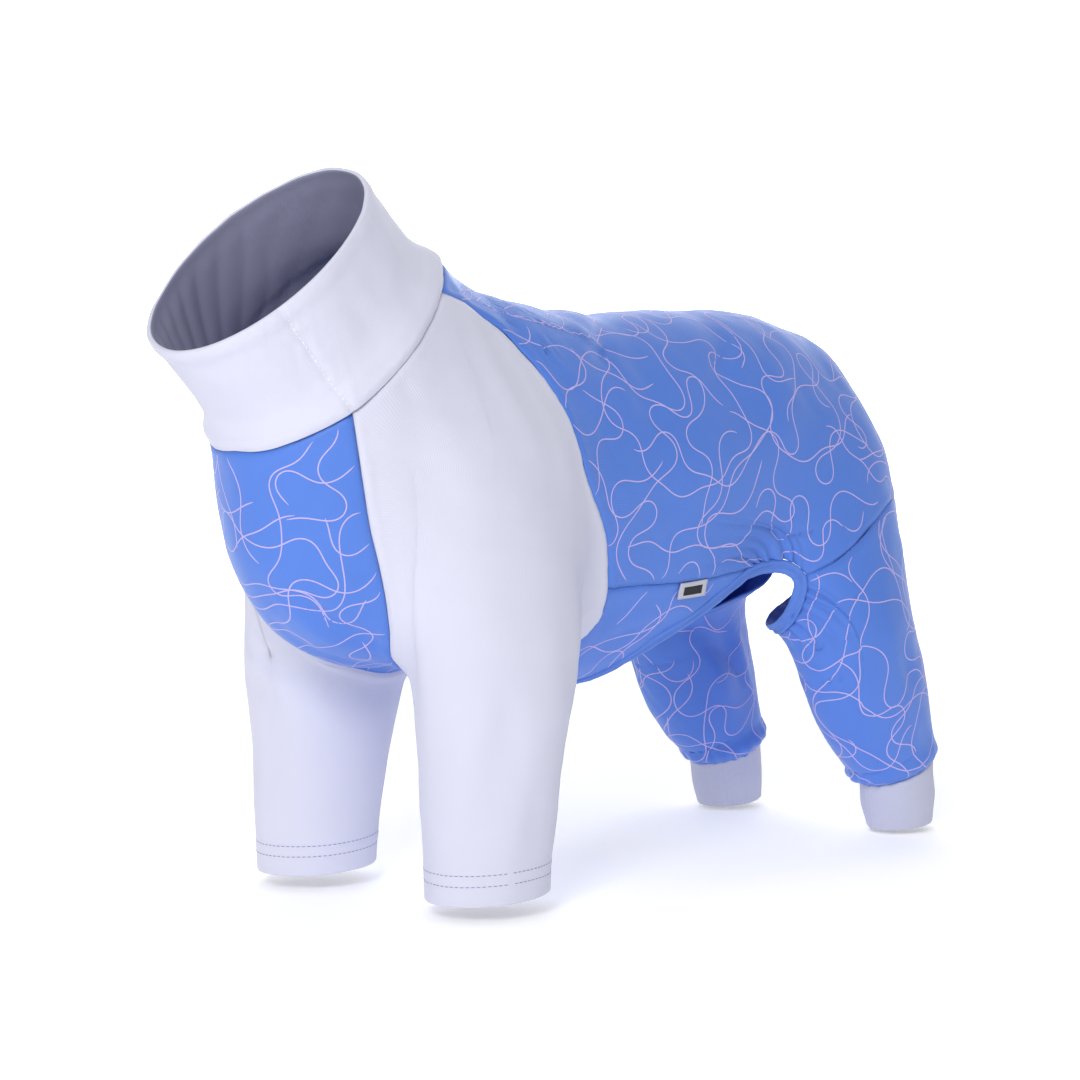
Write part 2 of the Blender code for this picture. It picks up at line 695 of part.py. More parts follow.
def cloth(name, look, grid, out, thick, closed, sunk=0.0, round_edge=False):
    """A closed solid of cloth: its inner face is the grid, its outer face thick away from it."""
    thick = np.broadcast_to(np.asarray(thick, float).reshape(-1, 1, 1), (len(grid), 1, 1))
    sunk = np.broadcast_to(np.asarray(sunk, float).reshape(-1, 1, 1), (len(grid), 1, 1))
    inner = grid - out * sunk
    outer = grid + out * (thick - sunk)
    loops = list(inner)
    if round_edge:
        middle = (inner[-1] + outer[-1]) / 2
        loops.append(middle + unit(grid[-1] - grid[-2]) * thick[-1] / 2)
    loops += list(outer[::-1])
    points = np.concatenate(loops)
    count = grid.shape[1]
    rows = len(grid)
    turns = len(loops)
    columns = count if closed else count - 1
    faces = []
    for k in range(turns):
        after = (k + 1) % turns
        row = min(k, turns - 2 - k) if k < turns - 1 else 0
        for j in range(columns):
            beside = (j + 1) % count
            first = True
            if row < rows - 1:
                corners = grid[row:row + 2, [j, beside]]
                first = (np.linalg.norm(corners[0, 0] - corners[1, 1])
                         < np.linalg.norm(corners[0, 1] - corners[1, 0]))
            mirrored = k >= rows
            quad = [k * count + j, k * count + beside, after * count + beside, after * count + j]
            faces += halves(*quad, first != mirrored)
    if not closed:
        for i in range(rows - 1):
            across = turns - 1 - i
            for j in (0, count - 1):
                quad = [i * count + j, (i + 1) * count + j,
                        (across - 1) * count + j, across * count + j]
                faces += halves(*(quad if j == 0 else quad[::-1]), True)
    return add_object(name, points, faces, look)


def gathered(grid, out, first, steps, edge):
    """A grid drawn up in small folds square to part of its edge row."""
    wave = np.zeros(grid.shape[1])
    middle = np.arange(first + 1, first + steps)
    wave[middle] = np.where((middle - first) % 2, 1.0, -1.0)
    reach = np.linalg.norm(grid - grid[edge][None], axis=2)
    depth = GATHER_DEPTH * np.exp(-(reach / GATHER_REACH)**2)
    return grid + out * (depth * wave[None])[..., None]


# Pieces

def collar(look):
    """The stand collar, two layers folded at the rim."""
    grid = collar_grid()
    out = grid_facing(grid)
    out[0] = facing(grid[0])
    grid = trimmed(grid, True, SEAM_GAP / 2, last=False)
    cloth("collar", look, grid, out, COLLAR_CLOTH, True, 0.0, True)


def back_panel(look):
    """The printed back, gathered along both arches of the opening."""
    grid = back_grid()
    out = facing(grid)
    grid = gathered(grid, out, 0, ARCH_STEPS, -1)
    grid = gathered(grid, out, grid.shape[1] - 1 - ARCH_STEPS, ARCH_STEPS, -1)
    cloth("back_panel", look, trimmed(grid, False, SEAM_GAP / 2), out, CLOTH, False)


def chest_belly_panel(look):
    """The printed front."""
    grid = chest_grid()
    cloth("chest_belly_panel", look, trimmed(grid, False, SEAM_GAP / 2), facing(grid), CLOTH, False)


def sleeve(name, look, flip):
    """One raglan sleeve, with its hem turned up inside."""
    grid = sleeve_grid()
    out = facing(grid)
    thick = np.full(len(grid), CLOTH)
    thick[-2:] = HEM_CLOTH
    grid = trimmed(grid, True, SEAM_GAP / 2, last=False)
    cloth(name, look, grid * flip, out * flip, thick, True, thick - CLOTH, True)


def hind_leg(name, look, flip):
    """One printed trouser leg, drawn in at its cuff."""
    grid = leg_grid()
    out = facing(grid)
    grid[-1] -= CUFF_PINCH * out[-1]
    grid = gathered(grid, out, HIP_STEPS + THIGH_STEPS, LEG_ARCH_STEPS, 0)
    cloth(name, look, trimmed(grid, True, SEAM_GAP / 2) * flip, out * flip, CLOTH, True)


def cuff(name, look, flip):
    """One ribbed cuff."""
    ring, low = cuff_seam()
    out = facing(ring)
    top = ring - CUFF_PINCH * out
    bottom = low - CUFF_PINCH * unit((low - low.mean(axis=0)) * np.array([1.0, 1.0, 0.0]))
    share = np.linspace(0.0, 1.0, CUFF_ROWS + 1)[:, None, None]
    grid = (1 - share) * top[None] + share * bottom[None]
    grid = trimmed(grid, True, SEAM_GAP / 2, last=False)
    cloth(name, look, grid * flip, np.repeat(out[None], len(grid), axis=0) * flip,
          CUFF_CLOTH, True, 0.0, True)


def opening_binding(look):
    """The elastic band round the one opening, from the belly to the tail."""
    half = joined(BELLY_EDGE, ARCH, LEG_ARCH, THIGH_EDGE, TAIL_EDGE)
    loop = both_sides(half)[:-1]
    out = facing(loop)
    along = unit(np.roll(loop, -1, axis=0) - np.roll(loop, 1, axis=0))
    inward = unit(np.cross(along, out))
    middle = laid(loop + inward * BINDING_WIDTH / 2, 4)
    edge = laid(loop + inward * BINDING_WIDTH, 4)
    grid = np.stack([loop, middle, edge])
    grid[0] += inward * SEAM_GAP / 2
    cloth("opening_binding", look, grid, facing(grid), BINDING_CLOTH, True,
          (BINDING_CLOTH - CLOTH) / 2, True)


def side_label(look):
    """The small tab sewn into the left side seam, hanging on the belly panel."""
    lengths = np.concatenate([[0.0], np.cumsum(np.linalg.norm(np.diff(SIDE, axis=0), axis=1))])
    middle = LABEL_PLACE * lengths[-1]
    at = middle + LABEL_LENGTH * np.linspace(-0.5, 0.5, 5)
    top = np.stack([np.interp(at, lengths, column) for column in SIDE.T], axis=1)
    rows = [laid(top - np.array([0.0, 0.0, LABEL_DROP * k / 2]), 4) for k in range(3)]
    grid = np.stack(rows)
    out = facing(grid)
    cloth("side_label", look, grid, out, LABEL_CLOTH, False, -(CLOTH + LABEL_CLEARANCE))


def withers_height():
    """Height of the form over the withers, found by halving."""
    low, high = -0.5 * CHEST_DEPTH, 0.5 * CHEST_DEPTH
    for _ in range(30):
        middle = (low + high) / 2
        if surface(np.array([[0.0, 0.0, middle]]))[0] < 0:
            low = middle
        else:
            high = middle
    return low


WITHERS = np.array([0.0, 0.0, withers_height()])

for old in list(bpy.data.objects):
    bpy.data.objects.remove(old)

PALE = material("pale_knit", (0.72, 0.72, 0.88), 0.85)
PRINT = material("printed_knit", (0.13, 0.30, 0.83), 0.80)
CUFF = material("ribbed_knit", (0.55, 0.56, 0.74), 0.90)
BAND = material("binding_knit", (0.12, 0.27, 0.76), 0.80)
TAB = material("woven_label", (0.62, 0.63, 0.70), 0.75)

collar(PALE)
back_panel(PRINT)
chest_belly_panel(PRINT)
for side, flip in (("left", np.ones(3)), ("right", MIRROR)):
    sleeve(side + "_sleeve", PALE, flip)
    hind_leg(side + "_hind_leg", PRINT, flip)
    cuff(side + "_cuff", CUFF, flip)
opening_binding(BAND)
side_label(TAB)
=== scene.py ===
"""Looks of the dog jumpsuit: each cloth piece at fine steps, with its folds, gathers and seams.

Metres, in the frame of the part.  The first half lays the panels' grids on the body form as
the part does, from the same sizes and seams.  The second half splits those grids into fine
steps, works the small forms of the cloth on them and gives each piece its material.  No
simulation runs: the folds are moves of the points in code.
"""
from collections import namedtuple

import bpy
import numpy as np
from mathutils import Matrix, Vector


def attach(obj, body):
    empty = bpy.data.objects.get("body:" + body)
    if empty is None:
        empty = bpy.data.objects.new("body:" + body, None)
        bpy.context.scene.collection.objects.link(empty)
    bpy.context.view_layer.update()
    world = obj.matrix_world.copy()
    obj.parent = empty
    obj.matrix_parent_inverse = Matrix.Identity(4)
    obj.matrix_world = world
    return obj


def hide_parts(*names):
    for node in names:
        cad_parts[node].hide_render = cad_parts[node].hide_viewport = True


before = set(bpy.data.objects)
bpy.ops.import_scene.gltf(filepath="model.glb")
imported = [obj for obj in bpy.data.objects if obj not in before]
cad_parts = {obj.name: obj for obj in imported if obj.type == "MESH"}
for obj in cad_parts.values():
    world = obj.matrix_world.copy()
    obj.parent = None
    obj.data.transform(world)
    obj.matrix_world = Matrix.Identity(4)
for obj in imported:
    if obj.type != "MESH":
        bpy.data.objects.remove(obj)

# Lengths of the body that the suit covers
BACK_LENGTH = 0.380
CHEST_WIDTH = 0.164
CHEST_DEPTH = 0.224
FRONT_LEG_HEIGHT = 0.335
HIND_LEG_HEIGHT = 0.341
FRONT_STANCE = 0.140
HIND_STANCE = 0.144
UPPER_ARM_LENGTH = 0.124
UPPER_ARM_WIDTH = 0.084
THIGH_LENGTH = 0.128
THIGH_WIDTH = 0.072
NECK_LENGTH = 0.172
NECK_WIDTH = 0.132

# Openings of the suit
SLEEVE_HEM_LENGTH = 0.072
SLEEVE_HEM_WIDTH = 0.062
CUFF_LENGTH = 0.048
CUFF_WIDTH = 0.044
CUFF_HEIGHT = 0.029
NAPE_HEIGHT = 0.082
THROAT_HEIGHT = 0.066
RIM_WIDTH = 0.119

# How far the ends of the legs rise toward the tail, in degrees
HEM_TILT = 3.0
CUFF_SEAM_TILT = 18.0
CUFF_TILT = 5.0

# Collar lean, in degrees above straight ahead
NAPE_LEAN = 36.0
THROAT_LEAN = 54.5

# Cloth
CLOTH = 0.0012
HEM_CLOTH = 0.0020
HEM_DEPTH = 0.019
CUFF_PINCH = 0.0030
BINDING_WIDTH = 0.0080

# Label in the left side seam
LABEL_DROP = 0.011
LABEL_PLACE = 0.58

# Steps along each seam, and rows down each piece
NAPE_STEPS = 3
SHOULDER_STEPS = 8
THROAT_STEPS = 6
FRONT_RAGLAN_STEPS = 16
REAR_RAGLAN_STEPS = 15
SIDE_STEPS = 12
ARCH_STEPS = 8
HIP_STEPS = 7
TAIL_STEPS = NAPE_STEPS + REAR_RAGLAN_STEPS - ARCH_STEPS - HIP_STEPS
LEG_ARCH_STEPS = 8
THIGH_STEPS = 10
SLEEVE_ROWS = 10
LEG_ROWS = 8

# Chest panel: where its mid line passes the underarms, and over how many rows its ends turn
CHEST_TURN = 0.10
CHEST_EASE = 7.0

# How softly the tubes of the form run into each other
NECK_BLEND = 0.046
FORELEG_BLEND = 0.030
HIND_LEG_BLEND = 0.036

# Decimals that points are rounded to, so that each run gives the same ones
FINEST = 7

SIDEWAYS = np.array([0.0, 1.0, 0.0])
LENGTHWISE = np.array([1.0, 0.0, 0.0])
MIRROR = np.array([1.0, -1.0, 1.0])


# Body form

Oval = namedtuple("Oval", "along down half_width half_depth")
LegOval = namedtuple("LegOval", "along out down half_length half_width")

TRUNK = (
    Oval(-0.210, 0.571, 0.378, 0.375),
    Oval(-0.026, 0.509, 0.451, 0.500),
    Oval(0.158, 0.545, 0.482, 0.496),
    Oval(0.316, 0.544, 0.500, 0.501),
    Oval(0.474, 0.512, 0.488, 0.483),
    Oval(0.618, 0.470, 0.463, 0.440),
    Oval(0.724, 0.462, 0.415, 0.388),
)
TRUNK_CAPS = (0.226 * BACK_LENGTH, 0.166 * BACK_LENGTH)

NECK = (
    Oval(-0.184, 0.420, 0.470, 0.500),
    Oval(-0.238, 0.283, 0.492, 0.485),
    Oval(-0.274, 0.180, 0.500, 0.485),
    Oval(-0.332, 0.028, 0.485, 0.462),
)
NECK_CAPS = (0.35 * NECK_LENGTH, 0.17 * NECK_LENGTH)

FORELEG = (
    LegOval(-0.110, 0.714, 0.300, 0.50 * UPPER_ARM_LENGTH, 0.476 * UPPER_ARM_WIDTH),
    LegOval(-0.124, 0.886, 0.478, 0.484 * UPPER_ARM_LENGTH, 0.50 * UPPER_ARM_WIDTH),
    LegOval(-0.129, 0.971, 0.612, 0.435 * UPPER_ARM_LENGTH, 0.476 * UPPER_ARM_WIDTH),
    LegOval(-0.142, 0.986, 0.806, 0.59 * SLEEVE_HEM_LENGTH, 0.565 * SLEEVE_HEM_WIDTH),
    LegOval(-0.149, 1.000, 0.955, 0.513 * SLEEVE_HEM_LENGTH, 0.516 * SLEEVE_HEM_WIDTH),
    LegOval(-0.149, 1.000, 1.030, 0.50 * SLEEVE_HEM_LENGTH, 0.50 * SLEEVE_HEM_WIDTH),
)
HIND_LEG = (
    LegOval(0.716, 0.583, 0.350, 0.50 * THIGH_LENGTH, 0.50 * THIGH_WIDTH),
    LegOval(0.712, 0.833, 0.496, 0.445 * THIGH_LENGTH, 0.50 * THIGH_WIDTH),
    LegOval(0.733, 0.972, 0.627, 0.380 * THIGH_LENGTH, 0.458 * THIGH_WIDTH),
    LegOval(0.792, 1.000, 0.773, 0.328 * THIGH_LENGTH, 0.417 * THIGH_WIDTH),
    LegOval(0.845, 1.000, 0.875, 0.625 * CUFF_LENGTH, 0.568 * CUFF_WIDTH),
    LegOval(0.865, 1.000, 1.000, 0.50 * CUFF_LENGTH, 0.50 * CUFF_WIDTH),
)
LEG_CAPS = (0.040, 0.020)


def unit(vectors):
    """Vectors of length one."""
    return vectors / np.maximum(np.linalg.norm(vectors, axis=-1, keepdims=True), 1e-12)


def smooth_curve(points, count):
    """Count points, evenly spaced, on a smooth curve through the given points."""
    steps = np.linalg.norm(np.diff(points[:, :3], axis=0), axis=1)
    knots = np.concatenate([[0.0], np.cumsum(steps)])
    slopes = np.gradient(points, knots, axis=0)
    at = np.linspace(0.0, knots[-1], 16 * len(points))
    span = np.clip(np.searchsorted(knots, at, side="right") - 1, 0, len(points) - 2)
    width = (knots[span + 1] - knots[span])[:, None]
    t = (at - knots[span])[:, None] / width
    start = (2 * t**3 - 3 * t**2 + 1) * points[span] + (t**3 - 2 * t**2 + t) * width * slopes[span]
    end = (3 * t**2 - 2 * t**3) * points[span + 1] + (t**3 - t**2) * width * slopes[span + 1]
    return even_points(start + end, count)


def even_points(line, count):
    """Count points at equal steps along a line."""
    steps = np.linalg.norm(np.diff(line[:, :3], axis=0), axis=1)
    length = np.concatenate([[0.0], np.cumsum(steps)])
    at = np.linspace(0.0, length[-1], count)
    return np.stack([np.interp(at, length, column) for column in line.T], axis=1)


class Tube:
    """A bent tube of oval sections: centre (3), radius along `side`, radius across it."""

    def __init__(self, sections, side, caps, samples):
        fine = smooth_curve(np.array(sections), samples)
        self.centre = fine[:, :3]
        self.radius = fine[:, 3:]
        self.side = side
        self.caps = caps

    def distance(self, points):
        """Roughly how far points are outside the tube, negative inside."""
        start = self.centre[:-1]
        step = np.diff(self.centre, axis=0)
        length = (step * step).sum(axis=1)
        share = ((points[:, None] - start) * step).sum(axis=2) / length
        share = np.clip(share, 0.0, 1.0)
        away = points[:, None] - start - share[..., None] * step
        nearest = np.argmin((away * away).sum(axis=2), axis=1)
        row = np.arange(len(points))
        away = away[row, nearest]
        share = share[row, nearest][:, None]
        axis = step[nearest] / np.sqrt(length[nearest])[:, None]
        side = unit(self.side - (axis * self.side).sum(axis=1, keepdims=True) * axis)
        across = np.cross(axis, side)
        radius = self.radius[nearest] * (1 - share) + self.radius[nearest + 1] * share
        along = (away * axis).sum(axis=1)
        cap = np.where((nearest == 0) & (along < 0), self.caps[0], self.caps[1])
        squares = ((away * side).sum(axis=1) / radius[:, 0])**2
        squares += ((away * across).sum(axis=1) / radius[:, 1])**2
        squares += (along / cap)**2
        size = np.linalg.norm(away, axis=1)
        return size - size / np.sqrt(np.maximum(squares, 1e-9))


def blend(first, second, width):
    """The nearer of two distances, rounded where they are about equal."""
    share = np.clip(0.5 + 0.5 * (second - first) / width, 0.0, 1.0)
    return second * (1 - share) + first * share - width * share * (1 - share)


def body_sections(ovals, wide, deep):
    """Sections of the trunk or the neck."""
    return [(oval.along * BACK_LENGTH, 0.0, -oval.down * CHEST_DEPTH,
             oval.half_width * wide, oval.half_depth * deep) for oval in ovals]


def leg_sections(ovals, stance, height, side):
    """Sections of one leg; side is -1 for the dog's left and 1 for its right."""
    return [(oval.along * BACK_LENGTH, side * oval.out * stance / 2, -oval.down * height,
             oval.half_length, oval.half_width) for oval in ovals]


TRUNK_TUBE = Tube(body_sections(TRUNK, CHEST_WIDTH, CHEST_DEPTH), SIDEWAYS, TRUNK_CAPS, 22)
NECK_TUBE = Tube(body_sections(NECK, NECK_WIDTH, NECK_LENGTH), SIDEWAYS, NECK_CAPS, 8)
LEG_TUBES = [
    (Tube(leg_sections(ovals, stance, height, side), LENGTHWISE, LEG_CAPS, 14), width)
    for side in (-1, 1)
    for ovals, stance, height, width in (
        (FORELEG, FRONT_STANCE, FRONT_LEG_HEIGHT, FORELEG_BLEND),
        (HIND_LEG, HIND_STANCE, HIND_LEG_HEIGHT, HIND_LEG_BLEND))
]


def place(along, out, down):
    """A point from its shares: of the back's length, the half width and the chest's depth."""
    return np.array([along * BACK_LENGTH, -out * CHEST_WIDTH / 2, -down * CHEST_DEPTH])


# Folds of the cloth: each runs straight from one place to another, half_width to each side.
# A depth above zero stands out of the form, one below zero goes in.

Fold = namedtuple("Fold", "start end half_width depth")

FOLDS = (
    Fold(place(0.265, 0.00, 0.05), place(0.215, 0.78, 0.30), 0.012, -0.0035),
    Fold(place(0.205, 0.00, 0.05), place(0.165, 0.75, 0.28), 0.013, 0.0035),
    Fold(place(0.470, 0.20, 0.06), place(0.420, 0.85, 0.30), 0.012, -0.0025),
    Fold(place(0.010, 0.35, 0.05), place(0.120, 0.95, 0.50), 0.016, 0.0030),
    Fold(place(-0.400, 0.00, 0.72), place(-0.200, 0.20, 0.93), 0.012, -0.0030),
    Fold(place(0.150, 0.80, 0.82), place(0.360, 0.85, 0.80), 0.010, -0.0020),
)


def relief(points):
    """How far the folds lift the cloth off the form."""
    lift = np.zeros(len(points))
    for fold in FOLDS:
        for flip in (np.ones(3), MIRROR):
            start = fold.start * flip
            run = fold.end * flip - start
            share = np.clip(((points - start) * run).sum(axis=1) / (run * run).sum(), 0.0, 1.0)
            away = points - start - share[:, None] * run
            ends = np.sin(np.pi * np.clip(share, 0.08, 0.92))**0.5
            lift += fold.depth * ends * np.exp(-(away * away).sum(axis=1) / fold.half_width**2)
    return lift


def surface(points):
    """Distance outside the suit's inner face."""
    value = blend(TRUNK_TUBE.distance(points), NECK_TUBE.distance(points), NECK_BLEND)
    for tube, width in LEG_TUBES:
        value = blend(value, tube.distance(points), width)
    return value - relief(points)


def steepness(points):
    """Distance outside the inner face, and how it changes along X, Y and Z."""
    nudge = 0.0004
    here = surface(points)
    changes = [(surface(points + nudge * axis) - here) / nudge for axis in np.eye(3)]
    return here, np.stack(changes, axis=1)


def laid(grid, steps):
    """Points moved square onto the suit's inner face."""
    points = grid.reshape(-1, 3).copy()
    for _ in range(steps):
        value, slope = steepness(points)
        points -= (value / np.maximum((slope * slope).sum(axis=1), 0.3))[:, None] * slope
        points = np.round(points, FINEST)
    return points.reshape(grid.shape)


def facing(grid):
    """Unit vectors out of the suit's inner face."""
    out = unit(steepness(grid.reshape(-1, 3))[1]).reshape(grid.shape)
    return np.round(out, FINEST)


# Seams of the left half, each row a share of the back's length, half width and chest depth

NECKLINE = (
    (-0.100, 0.00, -0.094),
    (-0.116, 0.22, -0.090),
    (-0.145, 0.40, -0.074),
    (-0.180, 0.57, -0.040),
    (-0.205, 0.68, 0.003),
    (-0.263, 0.79, 0.098),
    (-0.313, 0.79, 0.183),
    (-0.382, 0.67, 0.290),
    (-0.434, 0.44, 0.353),
    (-0.461, 0.20, 0.384),
    (-0.468, 0.00, 0.384),
)
NECKLINE_CORNERS = (4, 7)

REAR_RAGLAN = (
    (-0.205, 0.68, 0.003),
    (-0.134, 0.58, 0.031),
    (-0.066, 0.57, 0.098),
    (-0.005, 0.77, 0.237),
    (0.037, 1.00, 0.469),
    (0.092, 0.94, 0.629),
    (0.116, 0.85, 0.763),
)
FRONT_RAGLAN = (
    (-0.382, 0.67, 0.290),
    (-0.363, 0.67, 0.446),
    (-0.353, 0.67, 0.545),
    (-0.334, 0.66, 0.634),
    (-0.289, 0.57, 0.768),
    (-0.216, 0.39, 0.902),
    (-0.153, 0.35, 0.964),
    (-0.079, 0.37, 0.987),
    (0.000, 0.43, 0.982),
    (0.066, 0.52, 0.955),
    (0.105, 0.65, 0.906),
    (0.124, 0.76, 0.848),
    (0.116, 0.85, 0.763),
)
SIDE_SEAM = (
    (0.116, 0.85, 0.763),
    (0.208, 0.89, 0.763),
    (0.289, 0.90, 0.763),
    (0.355, 0.90, 0.754),
    (0.445, 0.88, 0.741),
)
OPENING = (
    (0.180, 0.00, 1.045),
    (0.195, 0.30, 1.020),
    (0.232, 0.55, 0.951),
    (0.290, 0.72, 0.893),
    (0.361, 0.82, 0.830),
    (0.445, 0.88, 0.741),
    (0.505, 0.89, 0.727),
    (0.550, 0.94, 0.737),
    (0.574, 0.98, 0.777),
    (0.578, 0.95, 0.839),
    (0.580, 0.86, 0.897),
    (0.600, 0.70, 0.930),
    (0.655, 0.45, 0.915),
    (0.740, 0.34, 0.870),
    (0.840, 0.30, 0.790),
    (0.920, 0.31, 0.680),
    (0.945, 0.34, 0.590),
    (0.950, 0.22, 0.490),
    (0.950, 0.00, 0.455),
)
OPENING_CORNERS = (5, 8, 11, 16)
CHEST_MIDDLE = (
    (-0.468, 0.00, 0.384),
    (-0.478, 0.00, 0.500),
    (-0.455, 0.00, 0.650),
    (-0.395, 0.00, 0.800),
    (-0.300, 0.00, 0.905),
    (-0.200, 0.00, 0.945),
    (-0.100, 0.00, 0.965),
    (0.010, 0.00, 1.010),
    (0.095, 0.00, 1.035),
    (0.180, 0.00, 1.045),
)
HIP_SEAM = (
    (0.574, 0.98, 0.777),
    (0.611, 1.07, 0.746),
    (0.658, 1.12, 0.701),
    (0.711, 1.11, 0.647),
    (0.784, 1.02, 0.589),
    (0.882, 0.73, 0.571),
    (0.945, 0.34, 0.590),
)


def drawn(rows):
    """Seam rows as a smooth line of close points on the form."""
    points = laid(np.array([place(*row) for row in rows]), 6)
    return laid(smooth_curve(points, 12 * len(rows)), 4)


def stepped(line, count):
    """A seam of count equal steps."""
    return laid(even_points(line, count + 1), 3)


def stepped_between(rows, corners, counts):
    """A symmetric half line from mid line to mid line, cut at its corners into seams."""
    mirrored = [(along, -out, down) for along, out, down in (rows[1], rows[-2])]
    line = drawn([mirrored[0], *rows, mirrored[1]])
    laid_corners = laid(np.array([place(*rows[corner]) for corner in corners]), 6)
    half = len(line) // 2
    middle = (np.argmin(np.abs(line[:half, 1])), half + np.argmin(np.abs(line[half:, 1])))
    cuts = [np.argmin(np.linalg.norm(line - corner, axis=1)) for corner in laid_corners]
    cuts = [middle[0], *cuts, middle[1]]
    seams = [stepped(line[a:b + 1], count) for a, b, count in zip(cuts, cuts[1:], counts)]
    seams[0][0, 1] = 0.0
    seams[-1][-1, 1] = 0.0
    return seams


def seam(rows, count, start, end):
    """A seam of count equal steps whose ends are given points."""
    line = stepped(drawn(rows), count)
    line[0] = start
    line[-1] = end
    return line


NAPE, SHOULDER, THROAT = stepped_between(
    NECKLINE, NECKLINE_CORNERS, (NAPE_STEPS, SHOULDER_STEPS, THROAT_STEPS))
BELLY_EDGE, ARCH, LEG_ARCH, THIGH_EDGE, TAIL_EDGE = stepped_between(
    OPENING, OPENING_CORNERS, (THROAT_STEPS, ARCH_STEPS, LEG_ARCH_STEPS, THIGH_STEPS, TAIL_STEPS))
SIDE = seam(SIDE_SEAM, SIDE_STEPS, laid(place(*SIDE_SEAM[0]), 6), ARCH[0])
REAR = seam(REAR_RAGLAN, REAR_RAGLAN_STEPS, SHOULDER[0], SIDE[0])
FRONT = seam(FRONT_RAGLAN, FRONT_RAGLAN_STEPS, THROAT[0], SIDE[0])
HIP = seam(HIP_SEAM, HIP_STEPS, LEG_ARCH[0], TAIL_EDGE[0])


def joined(*lines):
    """Lines end to end, without the doubled points."""
    return np.concatenate([lines[0]] + [line[1:] for line in lines[1:]])


def both_sides(half):
    """A left half line that ends on the mid line, followed by its mirror image."""
    return joined(half, (half * MIRROR)[::-1])


# Grids

def patch(front, rear, left, right):
    """A grid between four lines: rows run from front to rear, columns from left to right."""
    v = np.linspace(0.0, 1.0, len(left))[:, None, None]
    u = np.linspace(0.0, 1.0, len(front))[None, :, None]
    ruled = (1 - v) * front[None] + v * rear[None] + (1 - u) * left[:, None] + u * right[:, None]
    corners = (1 - v) * ((1 - u) * front[0] + u * front[-1]) + v * ((1 - u) * rear[0] + u * rear[-1])
    return ruled - corners


def square(grid, closed):
    """A grid whose lines leave its first row square to that row, along the form."""
    edge = grid[0]
    if closed:
        along = unit(np.roll(edge, -1, axis=0) - np.roll(edge, 1, axis=0))
        hold = np.ones(len(edge))
    else:
        along = unit(np.gradient(edge, axis=0))
        hold = np.sin(np.pi * np.linspace(0.0, 1.0, len(edge)))**0.3
    away = np.cross(along, facing(edge))
    step = grid[1] - edge
    away *= np.sign((away * step).sum())
    turn = away * np.linalg.norm(step, axis=1, keepdims=True) - step
    row = np.arange(len(grid))[:, None, None]
    return grid + row * np.exp(-(row / 3.0)**2) * (turn * hold[:, None])[None]


def settled(grid, closed, rounds):
    """A grid evened out on the form, with its edges left where they are."""
    for _ in range(rounds):
        grid = grid.copy()
        if closed:
            sides = (np.roll(grid, 1, axis=1) + np.roll(grid, -1, axis=1))[1:-1]
            grid[1:-1] = (grid[:-2] + grid[2:] + sides) / 4
        else:
            sides = grid[1:-1, :-2] + grid[1:-1, 2:]
            grid[1:-1, 1:-1] = (grid[:-2, 1:-1] + grid[2:, 1:-1] + sides) / 4
        grid = relaid(grid, closed, 2)
    return relaid(grid, closed, 4)


def relaid(grid, closed, steps):
    """The inside of a grid laid on the form."""
    grid = grid.copy()
    columns = slice(None) if closed else slice(1, -1)
    grid[1:-1, columns] = laid(grid[1:-1, columns], steps)
    return grid


def pulled(edge, inner, closed):
    """Unit vectors from an edge into its piece, square to the edge."""
    if closed:
        along = unit(np.roll(edge, -1, axis=0) - np.roll(edge, 1, axis=0))
    else:
        along = unit(np.gradient(edge, axis=0))
    inward = inner - edge
    return unit(inward - (inward * along).sum(axis=1, keepdims=True) * along)


def trimmed(grid, closed, amount, last=True):
    """A grid whose edges stop short of its seams by an amount."""
    cut = grid.copy()
    ends = [(0, 1)] + ([(-1, -2)] if last else [])
    rows = {edge: pulled(grid[edge], grid[inner], closed) for edge, inner in ends}
    for edge, pull in rows.items():
        cut[edge] += amount * pull
    if closed:
        return cut
    for edge, inner in ((0, 1), (-1, -2)):
        pull = pulled(grid[:, edge], grid[:, inner], False)
        cut[1:-1, edge] += amount * pull[1:-1]
        for corner in (0, -1):
            both = pull[corner] + rows[corner][edge]
            overlap = 1 + (pull[corner] * rows[corner][edge]).sum()
            cut[corner, edge] = grid[corner, edge] + amount * both / max(overlap, 0.4)
    return cut


# Grids of the panels

def tube_grid(loop, ring, rows):
    """A grid from a closed seam loop to a ring, evened out on the form."""
    share = rows[:, None, None]
    return settled(square((1 - share) * loop[None] + share * ring[None], True), True, 1)


def leg_ring(sections, height, tilt, degrees):
    """Points on the form around a leg at a height, at the given angles; tilt lifts its rear."""
    fine = smooth_curve(np.array(sections), 60)
    centre = fine[np.argmin(np.abs(fine[:, 2] + height))]
    turn = np.radians(degrees)
    x = centre[3] * np.cos(turn)
    points = np.stack([centre[0] + x, centre[1] + centre[4] * np.sin(turn),
                       -height + x * np.tan(np.radians(tilt))], axis=1)
    for _ in range(5):
        value, slope = steepness(points)
        slope[:, 2] = 0.0
        points -= (value / np.maximum((slope * slope).sum(axis=1), 0.3))[:, None] * slope
        points[:, 2] = -height + (points[:, 0] - centre[0]) * np.tan(np.radians(tilt))
    return points


def back_grid():
    """The back, from the collar and rear sleeve seams to the opening and hip seams."""
    front = both_sides(joined(REAR[::-1], NAPE[::-1]))
    rear = both_sides(joined(ARCH, HIP, TAIL_EDGE))
    grid = square(patch(front, rear, SIDE, SIDE * MIRROR), False)
    return settled(square(grid[::-1], False)[::-1], False, 1)


